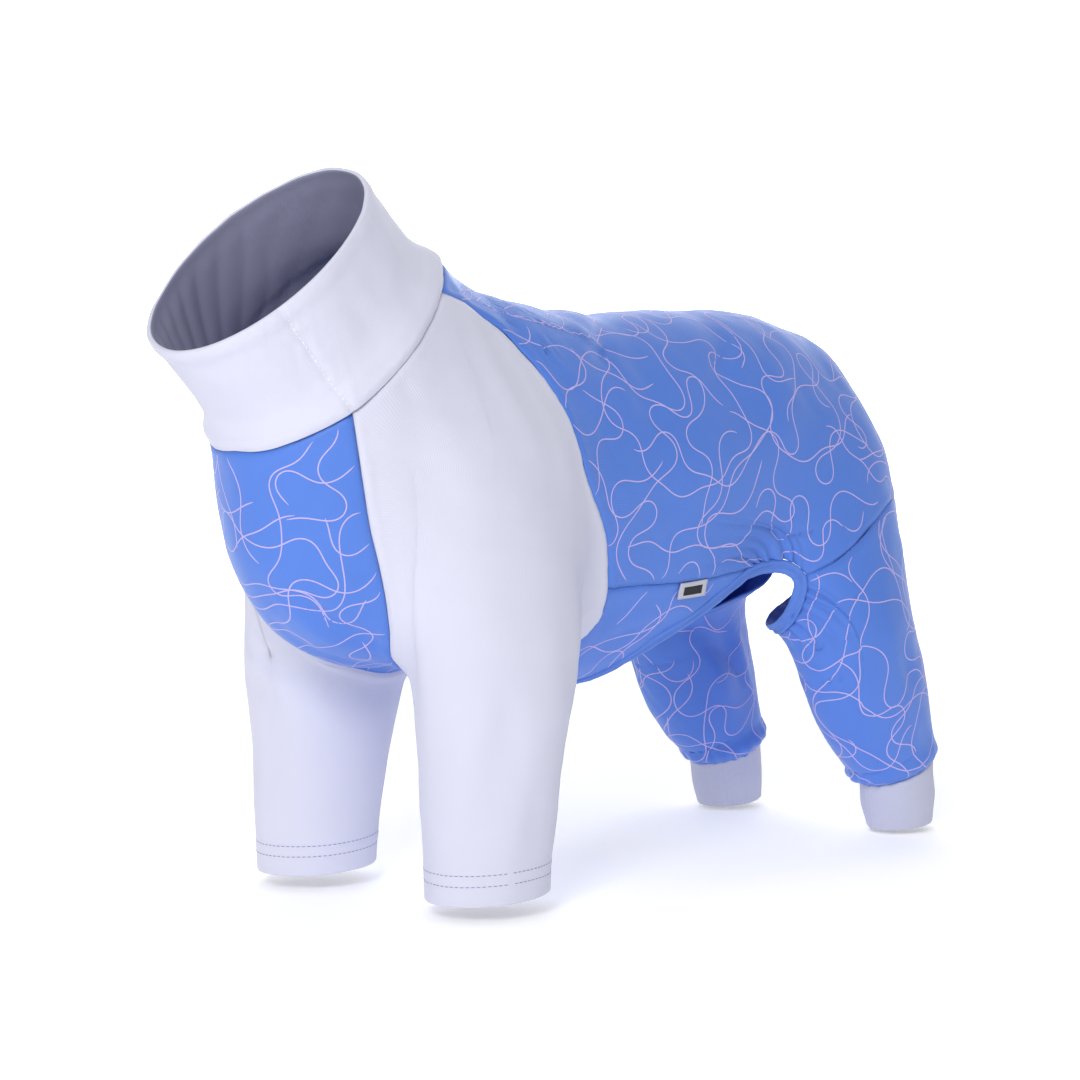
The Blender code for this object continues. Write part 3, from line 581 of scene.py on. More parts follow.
def chest_grid():
    """The front, from the throat between the sleeves to the belly edge."""
    left = joined(FRONT, SIDE)
    middle = drawn(CHEST_MIDDLE)
    turn = np.argmin(np.abs(middle[:, 0] - CHEST_TURN * BACK_LENGTH))
    middle = joined(stepped(middle[:turn + 1], FRONT_RAGLAN_STEPS),
                    stepped(middle[turn:], SIDE_STEPS))
    middle[:, 1] = 0.0
    angle = np.linspace(0.0, np.pi / 2, THROAT_STEPS + 1)[None, :, None]
    share = np.where(SIDEWAYS > 0, 1 - np.cos(angle), np.sin(angle))
    half = (1 - share) * left[:, None] + share * middle[:, None]
    row = np.arange(len(left))[:, None, None]
    near_front = np.clip(1 - row / CHEST_EASE, 0.0, 1.0)
    near_rear = np.clip(1 - (len(left) - 1 - row) / CHEST_EASE, 0.0, 1.0)
    half += near_front * (THROAT - half[0])[None]
    half += near_rear * (BELLY_EDGE[::-1] - half[-1])[None]
    grid = np.concatenate([half, (half * MIRROR)[:, -2::-1]], axis=1)
    return settled(relaid(grid, False, 8), False, 1)


def sleeve_grid():
    """The left sleeve, from its raglan seams to the hem."""
    loop = joined(SHOULDER, FRONT, REAR[::-1])[:-1]
    corners = (0, SHOULDER_STEPS, SHOULDER_STEPS + FRONT_RAGLAN_STEPS, len(loop))
    degrees = np.interp(np.arange(len(loop)), corners, (250, 190, -5, -110))
    sections = leg_sections(FORELEG, FRONT_STANCE, FRONT_LEG_HEIGHT, -1)
    ring = leg_ring(sections, FRONT_LEG_HEIGHT, HEM_TILT, degrees)
    hem_share = HEM_DEPTH / (FRONT_LEG_HEIGHT - CHEST_DEPTH)
    rows = np.append(np.linspace(0.0, 1.0 - hem_share, SLEEVE_ROWS), 1.0)
    return tube_grid(loop, ring, rows)


def cuff_seam():
    """The ring where a left hind leg is gathered onto its cuff, and the way out of it."""
    corners = (0, HIP_STEPS, HIP_STEPS + THIGH_STEPS, HIP_STEPS + THIGH_STEPS + LEG_ARCH_STEPS)
    degrees = np.interp(np.arange(corners[-1]), corners, (190, 370, 490, 550))
    sections = leg_sections(HIND_LEG, HIND_STANCE, HIND_LEG_HEIGHT, -1)
    ring = leg_ring(sections, HIND_LEG_HEIGHT - CUFF_HEIGHT, CUFF_SEAM_TILT, degrees)
    low = leg_ring(sections, HIND_LEG_HEIGHT, CUFF_TILT, degrees)
    return ring, low


def leg_grid():
    """The left trouser leg, from its seams and the opening to the cuff."""
    ring, _ = cuff_seam()
    loop = joined(HIP, THIGH_EDGE[::-1], LEG_ARCH[::-1])[:-1]
    fullness = CUFF_PINCH / (HIND_LEG_HEIGHT - CUFF_HEIGHT - CHEST_DEPTH)
    rows = np.append(np.linspace(0.0, 1.0 - 2.0 * fullness, LEG_ROWS), 1.0)
    return tube_grid(loop, ring, rows)


# Collar: how far its wall swells at each height, as shares of its height at the nape

Swell = namedtuple("Swell", "height nape side throat")

SWELLS = (
    Swell(0.00, 0.000, 0.000, 0.000),
    Swell(0.07, 0.000, 0.000, -0.035),
    Swell(0.15, -0.010, 0.000, -0.070),
    Swell(0.25, -0.050, -0.020, -0.092),
    Swell(0.40, -0.070, -0.030, -0.080),
    Swell(0.60, -0.050, -0.020, -0.052),
    Swell(0.80, -0.020, -0.005, -0.025),
    Swell(1.00, 0.000, 0.000, 0.000),
)


def lean(degrees):
    """The way the collar rises at one end, as a unit vector."""
    return np.array([-np.cos(np.radians(degrees)), 0.0, np.sin(np.radians(degrees))])


def collar_grid():
    """The collar's inner face, from the neck seam to the rim, round a full turn."""
    base = joined(NAPE, SHOULDER, THROAT)
    nape = base[0] + NAPE_HEIGHT * lean(NAPE_LEAN)
    throat = base[-1] + THROAT_HEIGHT * lean(THROAT_LEAN)
    turn = np.linspace(0.0, np.pi, 200)[:, None]
    oval = ((nape + throat) / 2 + (nape - throat) / 2 * np.cos(turn)
            - SIDEWAYS * (RIM_WIDTH / 2) * np.sin(turn))
    rim = even_points(oval, 200)
    steps = np.linalg.norm(np.diff(base, axis=0), axis=1)
    share = np.concatenate([[0.0], np.cumsum(steps)]) / steps.sum()
    rim = rim[np.round(share * (len(rim) - 1)).astype(int)]
    rise = rim - base
    out = unit(np.cross(np.gradient(base + rim, axis=0), rise))
    out *= np.sign((out * (base - base.mean(axis=0) * [1, 0, 1])).sum(axis=1, keepdims=True))
    grid = []
    for swell in SWELLS:
        amount = np.interp(share, (0.0, 0.5, 1.0), (swell.nape, swell.side, swell.throat))
        grid.append(base + rise * swell.height + out * (amount * NAPE_HEIGHT)[:, None])
    half = np.stack(grid)
    half[:, [0, -1], 1] = 0.0
    return np.concatenate([half, (half * MIRROR)[:, -2:0:-1]], axis=1)


def grid_facing(grid):
    """Unit vectors out of a closed grid, from its own shape."""
    around = np.roll(grid, -1, axis=1) - np.roll(grid, 1, axis=1)
    out = unit(np.cross(around, np.gradient(grid, axis=0)))
    middle = grid.mean(axis=1, keepdims=True)
    return out * np.sign(((grid - middle) * out).sum())


def withers_height():
    """Height of the form over the withers, found by halving."""
    low, high = -0.5 * CHEST_DEPTH, 0.5 * CHEST_DEPTH
    for _ in range(30):
        middle = (low + high) / 2
        if surface(np.array([[0.0, 0.0, middle]]))[0] < 0:
            low = middle
        else:
            high = middle
    return low


WITHERS = np.array([0.0, 0.0, withers_height()])


# Fine surface: each step of a grid is split, and the cloth's small forms are worked on it

FINE_COLUMNS = 4
COLLAR_COLUMNS = 6
BACK_ROWS = 13
CHEST_ROWS = 5
SLEEVE_FINE_ROWS = 14
LEG_FINE_ROWS = 12
COLLAR_ROWS = 7
CUFF_FINE_ROWS = 10

SEAM_DIP = 0.0010
SEAM_REACH = 0.0017
SHEET = 0.0011
FOLD_SHARE = 1.5
LEG_LIFT = 0.005
HEM_ROWS = (0.0106, 0.0168)
PRINT_WIDTH = 0.00090
PRINT_RISE = 0.00010
EDGE_GAP = 0.00012


def split(points, parts):
    """Points with each step along the first axis split into parts on smooth curves."""
    slopes = np.gradient(points, axis=0)
    t = (np.arange(parts) / parts).reshape(1, -1, *([1] * (points.ndim - 1)))
    start = (2 * t**3 - 3 * t**2 + 1) * points[:-1, None] + (t**3 - 2 * t**2 + t) * slopes[:-1, None]
    end = (3 * t**2 - 2 * t**3) * points[1:, None] + (t**3 - t**2) * slopes[1:, None]
    fine = (start + end).reshape(-1, *points.shape[1:])
    return np.concatenate([fine, points[-1:]])


def split_round(grid, parts):
    """The same along the second axis of a closed grid."""
    wide = np.concatenate([grid[:, -3:], grid, grid[:, :3]], axis=1)
    fine = split(wide.swapaxes(0, 1), parts).swapaxes(0, 1)
    return fine[:, 3 * parts:(3 + grid.shape[1]) * parts]


def fine_line(*seams, parts=FINE_COLUMNS):
    """Seams split into finer steps, each by itself, so that pieces which share one agree."""
    return joined(*[laid(split(seam, parts), 2) for seam in seams])


def mirrored_line(half):
    """A fine left half line that ends on the mid line, with its mirror image."""
    return joined(half, (half * MIRROR)[::-1])


def eased(grid, closed, rounds):
    """A grid whose inside points move to the middle of their neighbours."""
    grid = grid.copy()
    for _ in range(rounds):
        if closed:
            sides = (np.roll(grid, 1, axis=1) + np.roll(grid, -1, axis=1))[1:-1]
            grid[1:-1] = (grid[:-2] + grid[2:] + sides) / 4
        else:
            sides = grid[1:-1, :-2] + grid[1:-1, 2:]
            grid[1:-1, 1:-1] = (grid[:-2, 1:-1] + grid[2:, 1:-1] + sides) / 4
    return grid


def fine_panel(grid, rows, front, rear, left):
    """An open panel's grid at fine steps between its own seam lines."""
    fine = split(split(grid, rows).swapaxes(0, 1), FINE_COLUMNS).swapaxes(0, 1)
    right = left * MIRROR
    fine += patch(front - fine[0], rear - fine[-1], left - fine[:, 0], right - fine[:, -1])
    fine = relaid(eased(relaid(fine, False, 3), False, 14), False, 5)
    return np.round(eased(fine, False, 3), FINEST)


def fine_tube(grid, rows, top):
    """A closed grid at fine steps, from its own seam loop."""
    fine = split_round(split(grid, rows), FINE_COLUMNS)
    share = np.linspace(1.0, 0.0, len(fine))[:, None, None]
    fine += share * (top - fine[0])[None]
    fine = relaid(eased(relaid(fine, True, 3), True, 14), True, 5)
    return np.round(eased(fine, True, 3), FINEST)


def reach_down(grid):
    """How far each point is below the first row, along its column."""
    steps = np.linalg.norm(np.diff(grid, axis=0), axis=2)
    return np.concatenate([np.zeros((1, grid.shape[1])), np.cumsum(steps, axis=0)])


def reach_up(grid):
    """How far each point is above the last row."""
    return reach_down(grid[::-1])[::-1]


def reach_across(grid):
    """How far each point is from the first column, along its row."""
    return reach_down(grid.swapaxes(0, 1)).swapaxes(0, 1)


def around(line):
    """Length along a closed line to each of its points."""
    steps = np.linalg.norm(np.diff(line, axis=0), axis=1)
    return np.concatenate([[0.0], np.cumsum(steps)])


def ripple(points, size, seed):
    """Soft random waves of about one size."""
    chance = np.random.default_rng(seed)
    total = np.zeros(points.shape[:-1])
    for _ in range(7):
        way = unit(chance.normal(size=3))
        length = size * chance.uniform(0.7, 1.4)
        total += np.sin((points * way).sum(axis=-1) * 2 * np.pi / length + chance.uniform(0, 6.28))
    return total / 7**0.5


def raised(points, folds):
    """How far a table of folds lifts the cloth, each one followed along the form."""
    lift = np.zeros(points.shape[:-1])
    for fold in folds:
        steps = np.linspace(0.0, 1.0, 9)[:, None]
        line = laid(fold.start + steps * (fold.end - fold.start), 6)
        nearest = np.full(points.shape[:-1], 1.0)
        along = np.zeros(points.shape[:-1])
        for n, (start, end) in enumerate(zip(line, line[1:])):
            run = end - start
            share = np.clip(((points - start) * run).sum(axis=-1) / (run * run).sum(), 0.0, 1.0)
            away = points - start - share[..., None] * run
            away = (away * away).sum(axis=-1)
            along = np.where(away < nearest, (n + share) / (len(line) - 1), along)
            nearest = np.minimum(nearest, away)
        ends = np.sin(np.pi * np.clip(along, 0.04, 0.96))**0.7
        lift += fold.depth * ends * np.exp(-nearest / fold.half_width**2)
    return lift


def seam_dip(reach):
    """The cloth turns in at a seam and swells a little beside it."""
    dip = -SEAM_DIP * np.exp(-(reach / SEAM_REACH)**2)
    return dip + 0.00025 * np.exp(-((reach - 0.0045) / 0.0022)**2)


def seam_pucker(points, reach, seed):
    """Small uneven puckers beside a seam."""
    return 0.00016 * ripple(points, 0.0065, seed) * np.exp(-reach / 0.006)


def gathers(along, reach, length, pitch, depth, seed, spread=(0.020, 0.046)):
    """Cloth drawn up on an elastic edge: rounded ridges between narrow creases that fade out."""
    chance = np.random.default_rng(seed)
    shift = 0.22 * np.sin(along / length * 9.0 + chance.uniform(0, 6.28))
    phase = along / pitch + shift
    count = int(length / pitch) + 3
    reaches = chance.uniform(*spread, count)
    depths = chance.uniform(0.65, 1.15, count)
    nearest = np.clip(np.round(phase).astype(int), 0, count - 1)
    crease = np.exp(-((phase - np.round(phase)) / 0.20)**2)
    fade = np.exp(-(reach / reaches[nearest])**1.6)
    inside = np.clip(along / (1.2 * pitch), 0, 1) * np.clip((length - along) / (1.2 * pitch), 0, 1)
    ridge = np.cos(2 * np.pi * phase)
    return depth * fade * inside * (-0.9 * depths[nearest] * crease - 0.22 * ridge)


# Folds that the photograph shows beyond those of the form

BACK_FOLDS = (
    Fold(place(0.250, 0.20, 0.04), place(0.135, 0.72, 0.20), 0.006, -0.0014),
    Fold(place(0.205, 0.15, 0.04), place(0.090, 0.66, 0.17), 0.008, 0.0012),
    Fold(place(0.500, 0.50, 0.10), place(0.370, 0.82, 0.24), 0.006, -0.0016),
    Fold(place(0.530, 0.55, 0.11), place(0.410, 0.86, 0.28), 0.008, 0.0010),
    Fold(place(0.560, 0.65, 0.15), place(0.520, 0.98, 0.45), 0.016, 0.0012),
    Fold(place(0.060, 0.78, 0.20), place(0.130, 1.02, 0.50), 0.010, -0.0010),
    Fold(place(0.260, 0.97, 0.60), place(0.180, 0.98, 0.70), 0.008, -0.0007),
    Fold(place(0.250, -0.20, 0.04), place(0.180, -0.85, 0.35), 0.008, -0.0016),
    Fold(place(0.480, -0.30, 0.06), place(0.430, -0.90, 0.34), 0.007, -0.0014),
    Fold(place(0.300, -0.97, 0.55), place(0.200, -0.97, 0.70), 0.009, -0.0010),
    Fold(place(0.780, 0.25, 0.20), place(0.900, 0.30, 0.50), 0.012, 0.0010),
    Fold(place(0.780, -0.25, 0.20), place(0.900, -0.30, 0.50), 0.012, 0.0010),
)
CHEST_FOLDS = (
    Fold(place(-0.414, 0.23, 0.724), place(-0.265, 0.52, 0.915), 0.006, -0.0016),
    Fold(place(-0.430, 0.10, 0.700), place(-0.300, 0.30, 0.880), 0.007, 0.0012),
    Fold(place(-0.395, -0.10, 0.790), place(-0.230, 0.20, 0.930), 0.006, -0.0014),
    Fold(place(-0.395, -0.35, 0.780), place(-0.300, -0.55, 0.840), 0.006, -0.0012),
    Fold(place(0.157, 0.80, 0.845), place(0.330, 0.84, 0.820), 0.007, 0.0008),
    Fold(place(0.140, 0.70, 0.910), place(0.300, 0.76, 0.880), 0.006, -0.0009),
    Fold(place(0.140, -0.70, 0.910), place(0.280, -0.76, 0.880), 0.006, -0.0009),
)
LEFT_SLEEVE_FOLDS = (
    Fold(place(-0.180, 1.25, 0.95), place(-0.222, 1.15, 1.30), 0.010, -0.0013),
    Fold(place(-0.140, 1.29, 1.05), place(-0.185, 1.23, 1.42), 0.009, 0.0010),
    Fold(place(-0.268, 0.85, 0.95), place(-0.250, 0.88, 1.32), 0.010, -0.0010),
    Fold(place(0.060, 1.02, 0.72), place(0.020, 1.12, 1.02), 0.008, -0.0016),
    Fold(place(0.100, 0.86, 0.80), place(0.030, 1.00, 0.98), 0.006, 0.0014),
    Fold(place(-0.321, 0.80, 0.215), place(-0.285, 0.86, 0.262), 0.004, -0.0006),
    Fold(place(-0.240, 0.95, 0.38), place(-0.120, 1.05, 0.62), 0.022, 0.0010),
    Fold(place(-0.010, 0.88, 0.30), place(0.040, 1.08, 0.62), 0.014, -0.0010),
)
RIGHT_SLEEVE_FOLDS = (
    Fold(place(-0.300, -1.00, 0.86), place(-0.253, -0.60, 0.960), 0.006, -0.0018),
    Fold(place(-0.300, -1.02, 0.93), place(-0.262, -0.70, 0.995), 0.006, 0.0014),
    Fold(place(-0.290, -1.05, 0.98), place(-0.250, -0.80, 1.040), 0.006, -0.0014),
    Fold(place(-0.280, -0.70, 1.02), place(-0.270, -0.72, 1.32), 0.010, -0.0008),
    Fold(place(0.060, -1.02, 0.72), place(0.020, -1.12, 1.02), 0.008, -0.0014),
    Fold(place(-0.240, -0.95, 0.38), place(-0.120, -1.05, 0.62), 0.022, 0.0008),
    Fold(place(-0.050, -1.25, 0.95), place(-0.120, -1.22, 1.32), 0.012, -0.0010),
)
LEFT_LEG_FOLDS = (
    Fold(place(0.740, 1.26, 0.98), place(0.820, 1.22, 1.17), 0.005, -0.0016),
    Fold(place(0.784, 1.26, 1.08), place(0.840, 1.20, 1.25), 0.005, 0.0014),
    Fold(place(0.800, 1.24, 1.14), place(0.850, 1.16, 1.29), 0.005, -0.0013),
    Fold(place(0.600, 1.04, 0.90), place(0.680, 1.02, 1.22), 0.012, -0.0012),
    Fold(place(0.700, 1.20, 0.85), place(0.760, 1.22, 1.10), 0.012, 0.0010),
)
RIGHT_LEG_FOLDS = (
    Fold(place(0.630, -0.46, 0.93), place(0.786, -0.49, 1.105), 0.006, -0.0018),
    Fold(place(0.720, -0.43, 0.95), place(0.819, -0.52, 1.175), 0.006, -0.0018),
    Fold(place(0.681, -0.46, 0.98), place(0.792, -0.54, 1.270), 0.007, 0.0014),
    Fold(place(0.760, -0.44, 0.96), place(0.840, -0.56, 1.180), 0.006, 0.0014),
    Fold(place(0.640, -1.20, 0.90), place(0.740, -1.22, 1.15), 0.012, -0.0012),
    Fold(place(0.800, -1.24, 1.14), place(0.850, -1.16, 1.29), 0.006, -0.0013),
)


# Meshes

def quads_of(rows, columns, closed_columns, closed_rows):
    """Corner indices of a grid's faces, and the same corners unwrapped."""
    i = np.arange(rows if closed_rows else rows - 1)
    j = np.arange(columns if closed_columns else columns - 1)
    i, j = [a.ravel() for a in np.meshgrid(i, j, indexing="ij")]
    row = np.stack([i, i, i + 1, i + 1], axis=1)
    column = np.stack([j, j + 1, j + 1, j], axis=1)
    return (row % rows) * columns + column % columns, row, column


def mesh_object(name, points, quads, uv, look, node=None):
    """A smooth closed mesh with cloth coordinates in metres, which rides with the suit."""
    corners = points[quads]
    half = np.cross(corners[:, 1] - corners[:, 0], corners[:, 2] - corners[:, 0])
    half += np.cross(corners[:, 2] - corners[:, 0], corners[:, 3] - corners[:, 0])
    if (corners.mean(axis=1) * half).sum() < 0:
        quads = quads[:, ::-1]
        uv = uv[:, ::-1]
    mesh = bpy.data.meshes.new(name)
    mesh.vertices.add(len(points))
    mesh.vertices.foreach_set("co", (points - WITHERS).astype(np.float32).ravel())
    mesh.loops.add(quads.size)
    mesh.loops.foreach_set("vertex_index", quads.astype(np.int32).ravel())
    mesh.polygons.add(len(quads))
    mesh.polygons.foreach_set("loop_start", np.arange(0, quads.size, 4, dtype=np.int32))
    layer = mesh.uv_layers.new(name="cloth")
    layer.data.foreach_set("uv", uv.astype(np.float32).ravel())
    mesh.update(calc_edges=True)
    mesh.shade_smooth()
    mesh.materials.append(look)
    made = bpy.data.objects.new(name, mesh)
    bpy.context.scene.collection.objects.link(made)
    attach(made, "root")
    if node:
        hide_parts(node)
    return made


def tube_cloth(name, outer, inner, look, node, ends=5, shaded_inner_look=None):
    """A closed piece of cloth: an outer and an inner wall, joined round its last row."""
    thick = np.linalg.norm(outer[-1] - inner[-1], axis=1)[:, None]
    middle = (outer[-1] + inner[-1]) / 2
    across = unit(outer[-1] - inner[-1])
    down = outer[-1] - outer[-2]
    down = unit(down - (down * across).sum(axis=1, keepdims=True) * across)
    turns = np.linspace(0.0, np.pi, ends + 2)[1:-1]
    fold = [middle + thick / 2 * (across * np.cos(t) + down * np.sin(t)) for t in turns]
    loops = np.concatenate([outer, np.array(fold), inner[::-1]])
    quads, row, column = quads_of(len(loops), loops.shape[1], True, True)
    length = around(np.concatenate([outer[len(outer) // 2], outer[len(outer) // 2, :1]]))
    depth = np.append(around(loops[:, 0]), 0.0)
    depth[-1] = depth[-2] + SHEET
    uv = np.stack([length[column], depth[row]], axis=2)
    made = mesh_object(name, loops.reshape(-1, 3), quads, uv, look, node)
    # The faces of the inner wall can take a second look. The collar's is a darkened copy of its cloth,
    # painted shade inside the collar.
    if shaded_inner_look:
        made.data.materials.append(shaded_inner_look)
        inside = row[:, 0] >= len(outer) + ends - 2
        made.data.polygons.foreach_set("material_index", inside.astype(np.int32))
    return made


def panel_cloth(name, outer, inner, look, node):
    """An open panel of cloth: each row is a ring of its outer and its inner points."""
    rows, columns = outer.shape[:2]
    rings = np.concatenate([outer, inner[:, ::-1]], axis=1)
    quads, row, column = quads_of(rows, 2 * columns, True, False)
    length = around(outer[rows // 2])
    length = np.concatenate([length, length[::-1], length[:1]])
    depth = around(outer[:, columns // 2])
    uv = np.stack([length[column], depth[row]], axis=2)
    j = np.arange(columns - 1)
    caps = []
    for base, way in ((0, 1), ((rows - 1) * 2 * columns, -1)):
        cap = np.stack([j, 2 * columns - 1 - j, 2 * columns - 2 - j, j + 1], axis=1) + base
        caps.append(cap[:, ::way])
    quads = np.concatenate([quads] + caps)
    uv = np.concatenate([uv, np.zeros((2 * (columns - 1), 4, 2))])
    return mesh_object(name, rings.reshape(-1, 3), quads, uv, look, node)


def ribbons(name, lines, ups, width, height, look):
    """Thin raised lines that lie on the cloth: each is a closed bar with a rounded top."""
    points, quads, start = [], [], 0
    for line, up in zip(lines, ups):
        ahead = unit(np.gradient(line, axis=0))
        side = unit(np.cross(up, ahead))
        taper = np.sin(np.clip(np.linspace(0, 1, len(line)) * len(line) / 3, 0, 1) * np.pi / 2)
        taper = np.minimum(taper, taper[::-1])[:, None] * 0.7 + 0.3
        half = side * width / 2 * taper
        low, high = up * -0.6 * height, up * height
        shoulder = 0.7 * half
        ring = [line - half + low, line - shoulder + high, line + shoulder + high, line + half + low]
        points.append(np.stack(ring, axis=1).reshape(-1, 3))
        body, _, _ = quads_of(len(line), 4, True, False)
        last = 4 * (len(line) - 1)
        ends = np.array([[3, 2, 1, 0], [last, last + 1, last + 2, last + 3]])
        quads.append(np.concatenate([body, ends]) + start)
        start += 4 * len(line)
    quads = np.concatenate(quads)
    uv = np.zeros((len(quads), 4, 2))
    return mesh_object(name, np.concatenate(points), quads, uv, look)


def scribbles(surface_grid, out, count, seed, closed=False, step=0.0016):
    """Loose curved lines that wander over a piece, each from its own chance start."""
    chance = np.random.default_rng(seed)
    rows, columns = surface_grid.shape[:2]
    if closed:
        surface_grid = np.concatenate([surface_grid, surface_grid[:, :1]], axis=1)
        out = np.concatenate([out, out[:, :1]], axis=1)
        columns += 1
    down = np.gradient(surface_grid, axis=0)
    right = np.gradient(surface_grid, axis=1)
    cells = np.linalg.norm(np.cross(down, right), axis=2)[:-1, :-1].ravel()
    share = np.cumsum(cells) / cells.sum()
    picks = np.searchsorted(share, (np.arange(count) + chance.uniform(0.1, 0.9, count)) / count)
    at = np.stack([picks // (columns - 1), picks % (columns - 1)], axis=1) + 0.5
    turn = chance.uniform(0, 2 * np.pi, count)
    lengths = chance.uniform(0.14, 0.36, count)
    waves = chance.uniform(0.034, 0.110, (3, count))
    phases = chance.uniform(0, 6.28, (3, count))
    lean_to = chance.normal(0, 13.0, count)
    alive = np.ones(count, bool)
    lines = [[] for _ in range(count)]
    ups = [[] for _ in range(count)]

    def sample(values, where):
        i = np.clip(where[:, 0].astype(int), 0, rows - 2)
        j = np.clip(where[:, 1].astype(int), 0, columns - 2)
        a = (where[:, 0] - i)[:, None]
        b = (where[:, 1] - j)[:, None]
        first = values[i, j] * (1 - b) + values[i, j + 1] * b
        return first * (1 - a) + (values[i + 1, j] * (1 - b) + values[i + 1, j + 1] * b) * a

    for k in range(int(0.36 / step)):
        here = sample(surface_grid, at)
        up = unit(sample(out, at))
        a, b = sample(down, at), sample(right, at)
        for n in np.nonzero(alive)[0]:
            lines[n].append(here[n])
            ups[n].append(up[n])
        first = unit(a - (a * up).sum(axis=1, keepdims=True) * up)
        second = np.cross(up, first)
        way = first * np.cos(turn)[:, None] + second * np.sin(turn)[:, None]
        aa, ab, bb = (a * a).sum(axis=1), (a * b).sum(axis=1), (b * b).sum(axis=1)
        wa, wb = (way * a).sum(axis=1), (way * b).sum(axis=1)
        det = np.maximum(aa * bb - ab * ab, 1e-14)
        move = np.stack([(wa * bb - wb * ab) / det, (wb * aa - wa * ab) / det], axis=1)
        at = np.round(at + step * move, FINEST)
        if closed:
            at[:, 1] %= columns - 1
        far = k * step
        bend = sum(np.sin(2 * np.pi * far / waves[m] + phases[m]) for m in range(3))
        turn = np.round(turn + step * np.clip(lean_to + 50.0 * bend, -135.0, 135.0), FINEST)
        inside = (at[:, 0] > 0.8) & (at[:, 0] < rows - 1.8)
        if not closed:
            inside &= (at[:, 1] > 0.8) & (at[:, 1] < columns - 1.8)
        alive &= inside & (far < lengths)
    keep = [n for n in range(count) if len(lines[n]) > 14]
    return [np.array(lines[n]) for n in keep], [np.array(ups[n]) for n in keep]


def even_cover(lines, ups, total, cell=0.015):
    """The lines that fill a piece most evenly, up to a total length."""
    cells = [np.unique(np.round(line / cell).astype(int), axis=0) for line in lines]
    cells = [[tuple(place_of) for place_of in passed] for passed in cells]
    used = {}
    left = list(range(len(lines)))
    chosen = []
    while left and total > 0:
        gains = [sum(0.3**used.get(passed, 0) for passed in cells[n]) / len(cells[n])**0.8
                 for n in left]
        best = left.pop(int(np.argmax(np.round(gains, FINEST))))
        chosen.append(best)
        total -= np.linalg.norm(np.diff(lines[best], axis=0), axis=1).sum()
        for passed in cells[best]:
            used[passed] = used.get(passed, 0) + 1
    return [lines[n] for n in chosen], [ups[n] for n in chosen]


def dashes(name, line, up, length, pitch, width, height, look):
    """A row of stitches along a line."""
    along = around(line)
    starts = np.arange(pitch / 2, along[-1] - length, pitch)
    bars, ups = [], []
    for start in starts:
        at = start + length * np.linspace(0, 1, 5)
        bars.append(np.stack([np.interp(at, along, column) for column in line.T], axis=1))
        ups.append(unit(np.stack([np.interp(at, along, column) for column in up.T], axis=1)))
    return ribbons(name, bars, ups, width, height, look)


def level(grid, reach, value):
    """The line over a grid where a reach has one value, and nothing else of it."""
    line = []
    for j in range(grid.shape[1]):
        order = np.argsort(reach[:, j])
        line.append([np.interp(value, reach[order, j], grid[order, j, k]) for k in range(3)])
    return np.array(line)


# Materials

def shader_of(look):
    return look.node_tree.nodes["Principled BSDF"]


def knit(name, colour, other, roughness, wale, course, depth, sheen, sheen_colour, blotch=0.5):
    """Knit cloth: fine wales and courses in relief, a slight random unevenness of colour, and painted
    shade that darkens the low places of the relief.
    """
    look = bpy.data.materials.new(name)
    look.use_nodes = True
    nodes, links = look.node_tree.nodes, look.node_tree.links
    shader = shader_of(look)

    def node(kind, **values):
        made = nodes.new(kind)
        for key, value in values.items():
            setattr(made, key, value)
        return made

    def maths(operation, first, second=None):
        made = node("ShaderNodeMath", operation=operation)
        for socket, value in ((0, first), (1, second)):
            if value is None:
                continue
            if isinstance(value, (int, float)):
                made.inputs[socket].default_value = value
            else:
                links.new(value, made.inputs[socket])
        return made.outputs[0]

    cloth_uv = node("ShaderNodeUVMap", uv_map="cloth")
    parts = node("ShaderNodeSeparateXYZ")
    links.new(cloth_uv.outputs["UV"], parts.inputs[0])
    across = maths("MULTIPLY", parts.outputs["X"], np.pi / wale)
    loops = maths("ABSOLUTE", maths("SINE", across))
    slant = maths("MULTIPLY", loops, 0.9)
    rows = maths("MULTIPLY", parts.outputs["Y"], 2 * np.pi / course)
    rows = maths("SINE", maths("ADD", rows, maths("MULTIPLY", slant, 2.6)))
    height = maths("ADD", loops, maths("MULTIPLY", rows, 0.35))
    coords = node("ShaderNodeTexCoord")
    fuzz = node("ShaderNodeTexNoise")
    fuzz.inputs["Scale"].default_value = 900.0
    fuzz.inputs["Detail"].default_value = 3.0
    links.new(coords.outputs["Object"], fuzz.inputs["Vector"])
    height = maths("ADD", height, maths("MULTIPLY", fuzz.outputs["Fac"], 0.5))
    bump = node("ShaderNodeBump")
    bump.inputs["Strength"].default_value = 0.45
    bump.inputs["Distance"].default_value = depth
    links.new(height, bump.inputs["Height"])
    links.new(bump.outputs["Normal"], shader.inputs["Normal"])

    cloud = node("ShaderNodeTexNoise")
    cloud.inputs["Scale"].default_value = 26.0
    cloud.inputs["Detail"].default_value = 4.0
    links.new(coords.outputs["Object"], cloud.inputs["Vector"])
    # Colour mix: a cloudy random tone, plus painted shade from the stitch relief, darker where the knit
    # is low.
    tone_and_stitch_shade = maths("ADD", maths("MULTIPLY", cloud.outputs["Fac"], blotch),
                  maths("MULTIPLY", height, 0.16))
    mix = node("ShaderNodeMix", data_type="RGBA")
    mix.inputs["A"].default_value = (*other, 1.0)
    mix.inputs["B"].default_value = (*colour, 1.0)
    links.new(maths("ADD", tone_and_stitch_shade, 0.12), mix.inputs["Factor"])
    links.new(mix.outputs["Result"], shader.inputs["Base Color"])
    rough = maths("ADD", maths("MULTIPLY", fuzz.outputs["Fac"], 0.12), roughness - 0.06)
    links.new(rough, shader.inputs["Roughness"])
    shader.inputs["Sheen Weight"].default_value = sheen
    shader.inputs["Sheen Roughness"].default_value = 0.35
    shader.inputs["Sheen Tint"].default_value = (*sheen_colour, 1.0)
    shader.inputs["Specular IOR Level"].default_value = 0.35
    return look


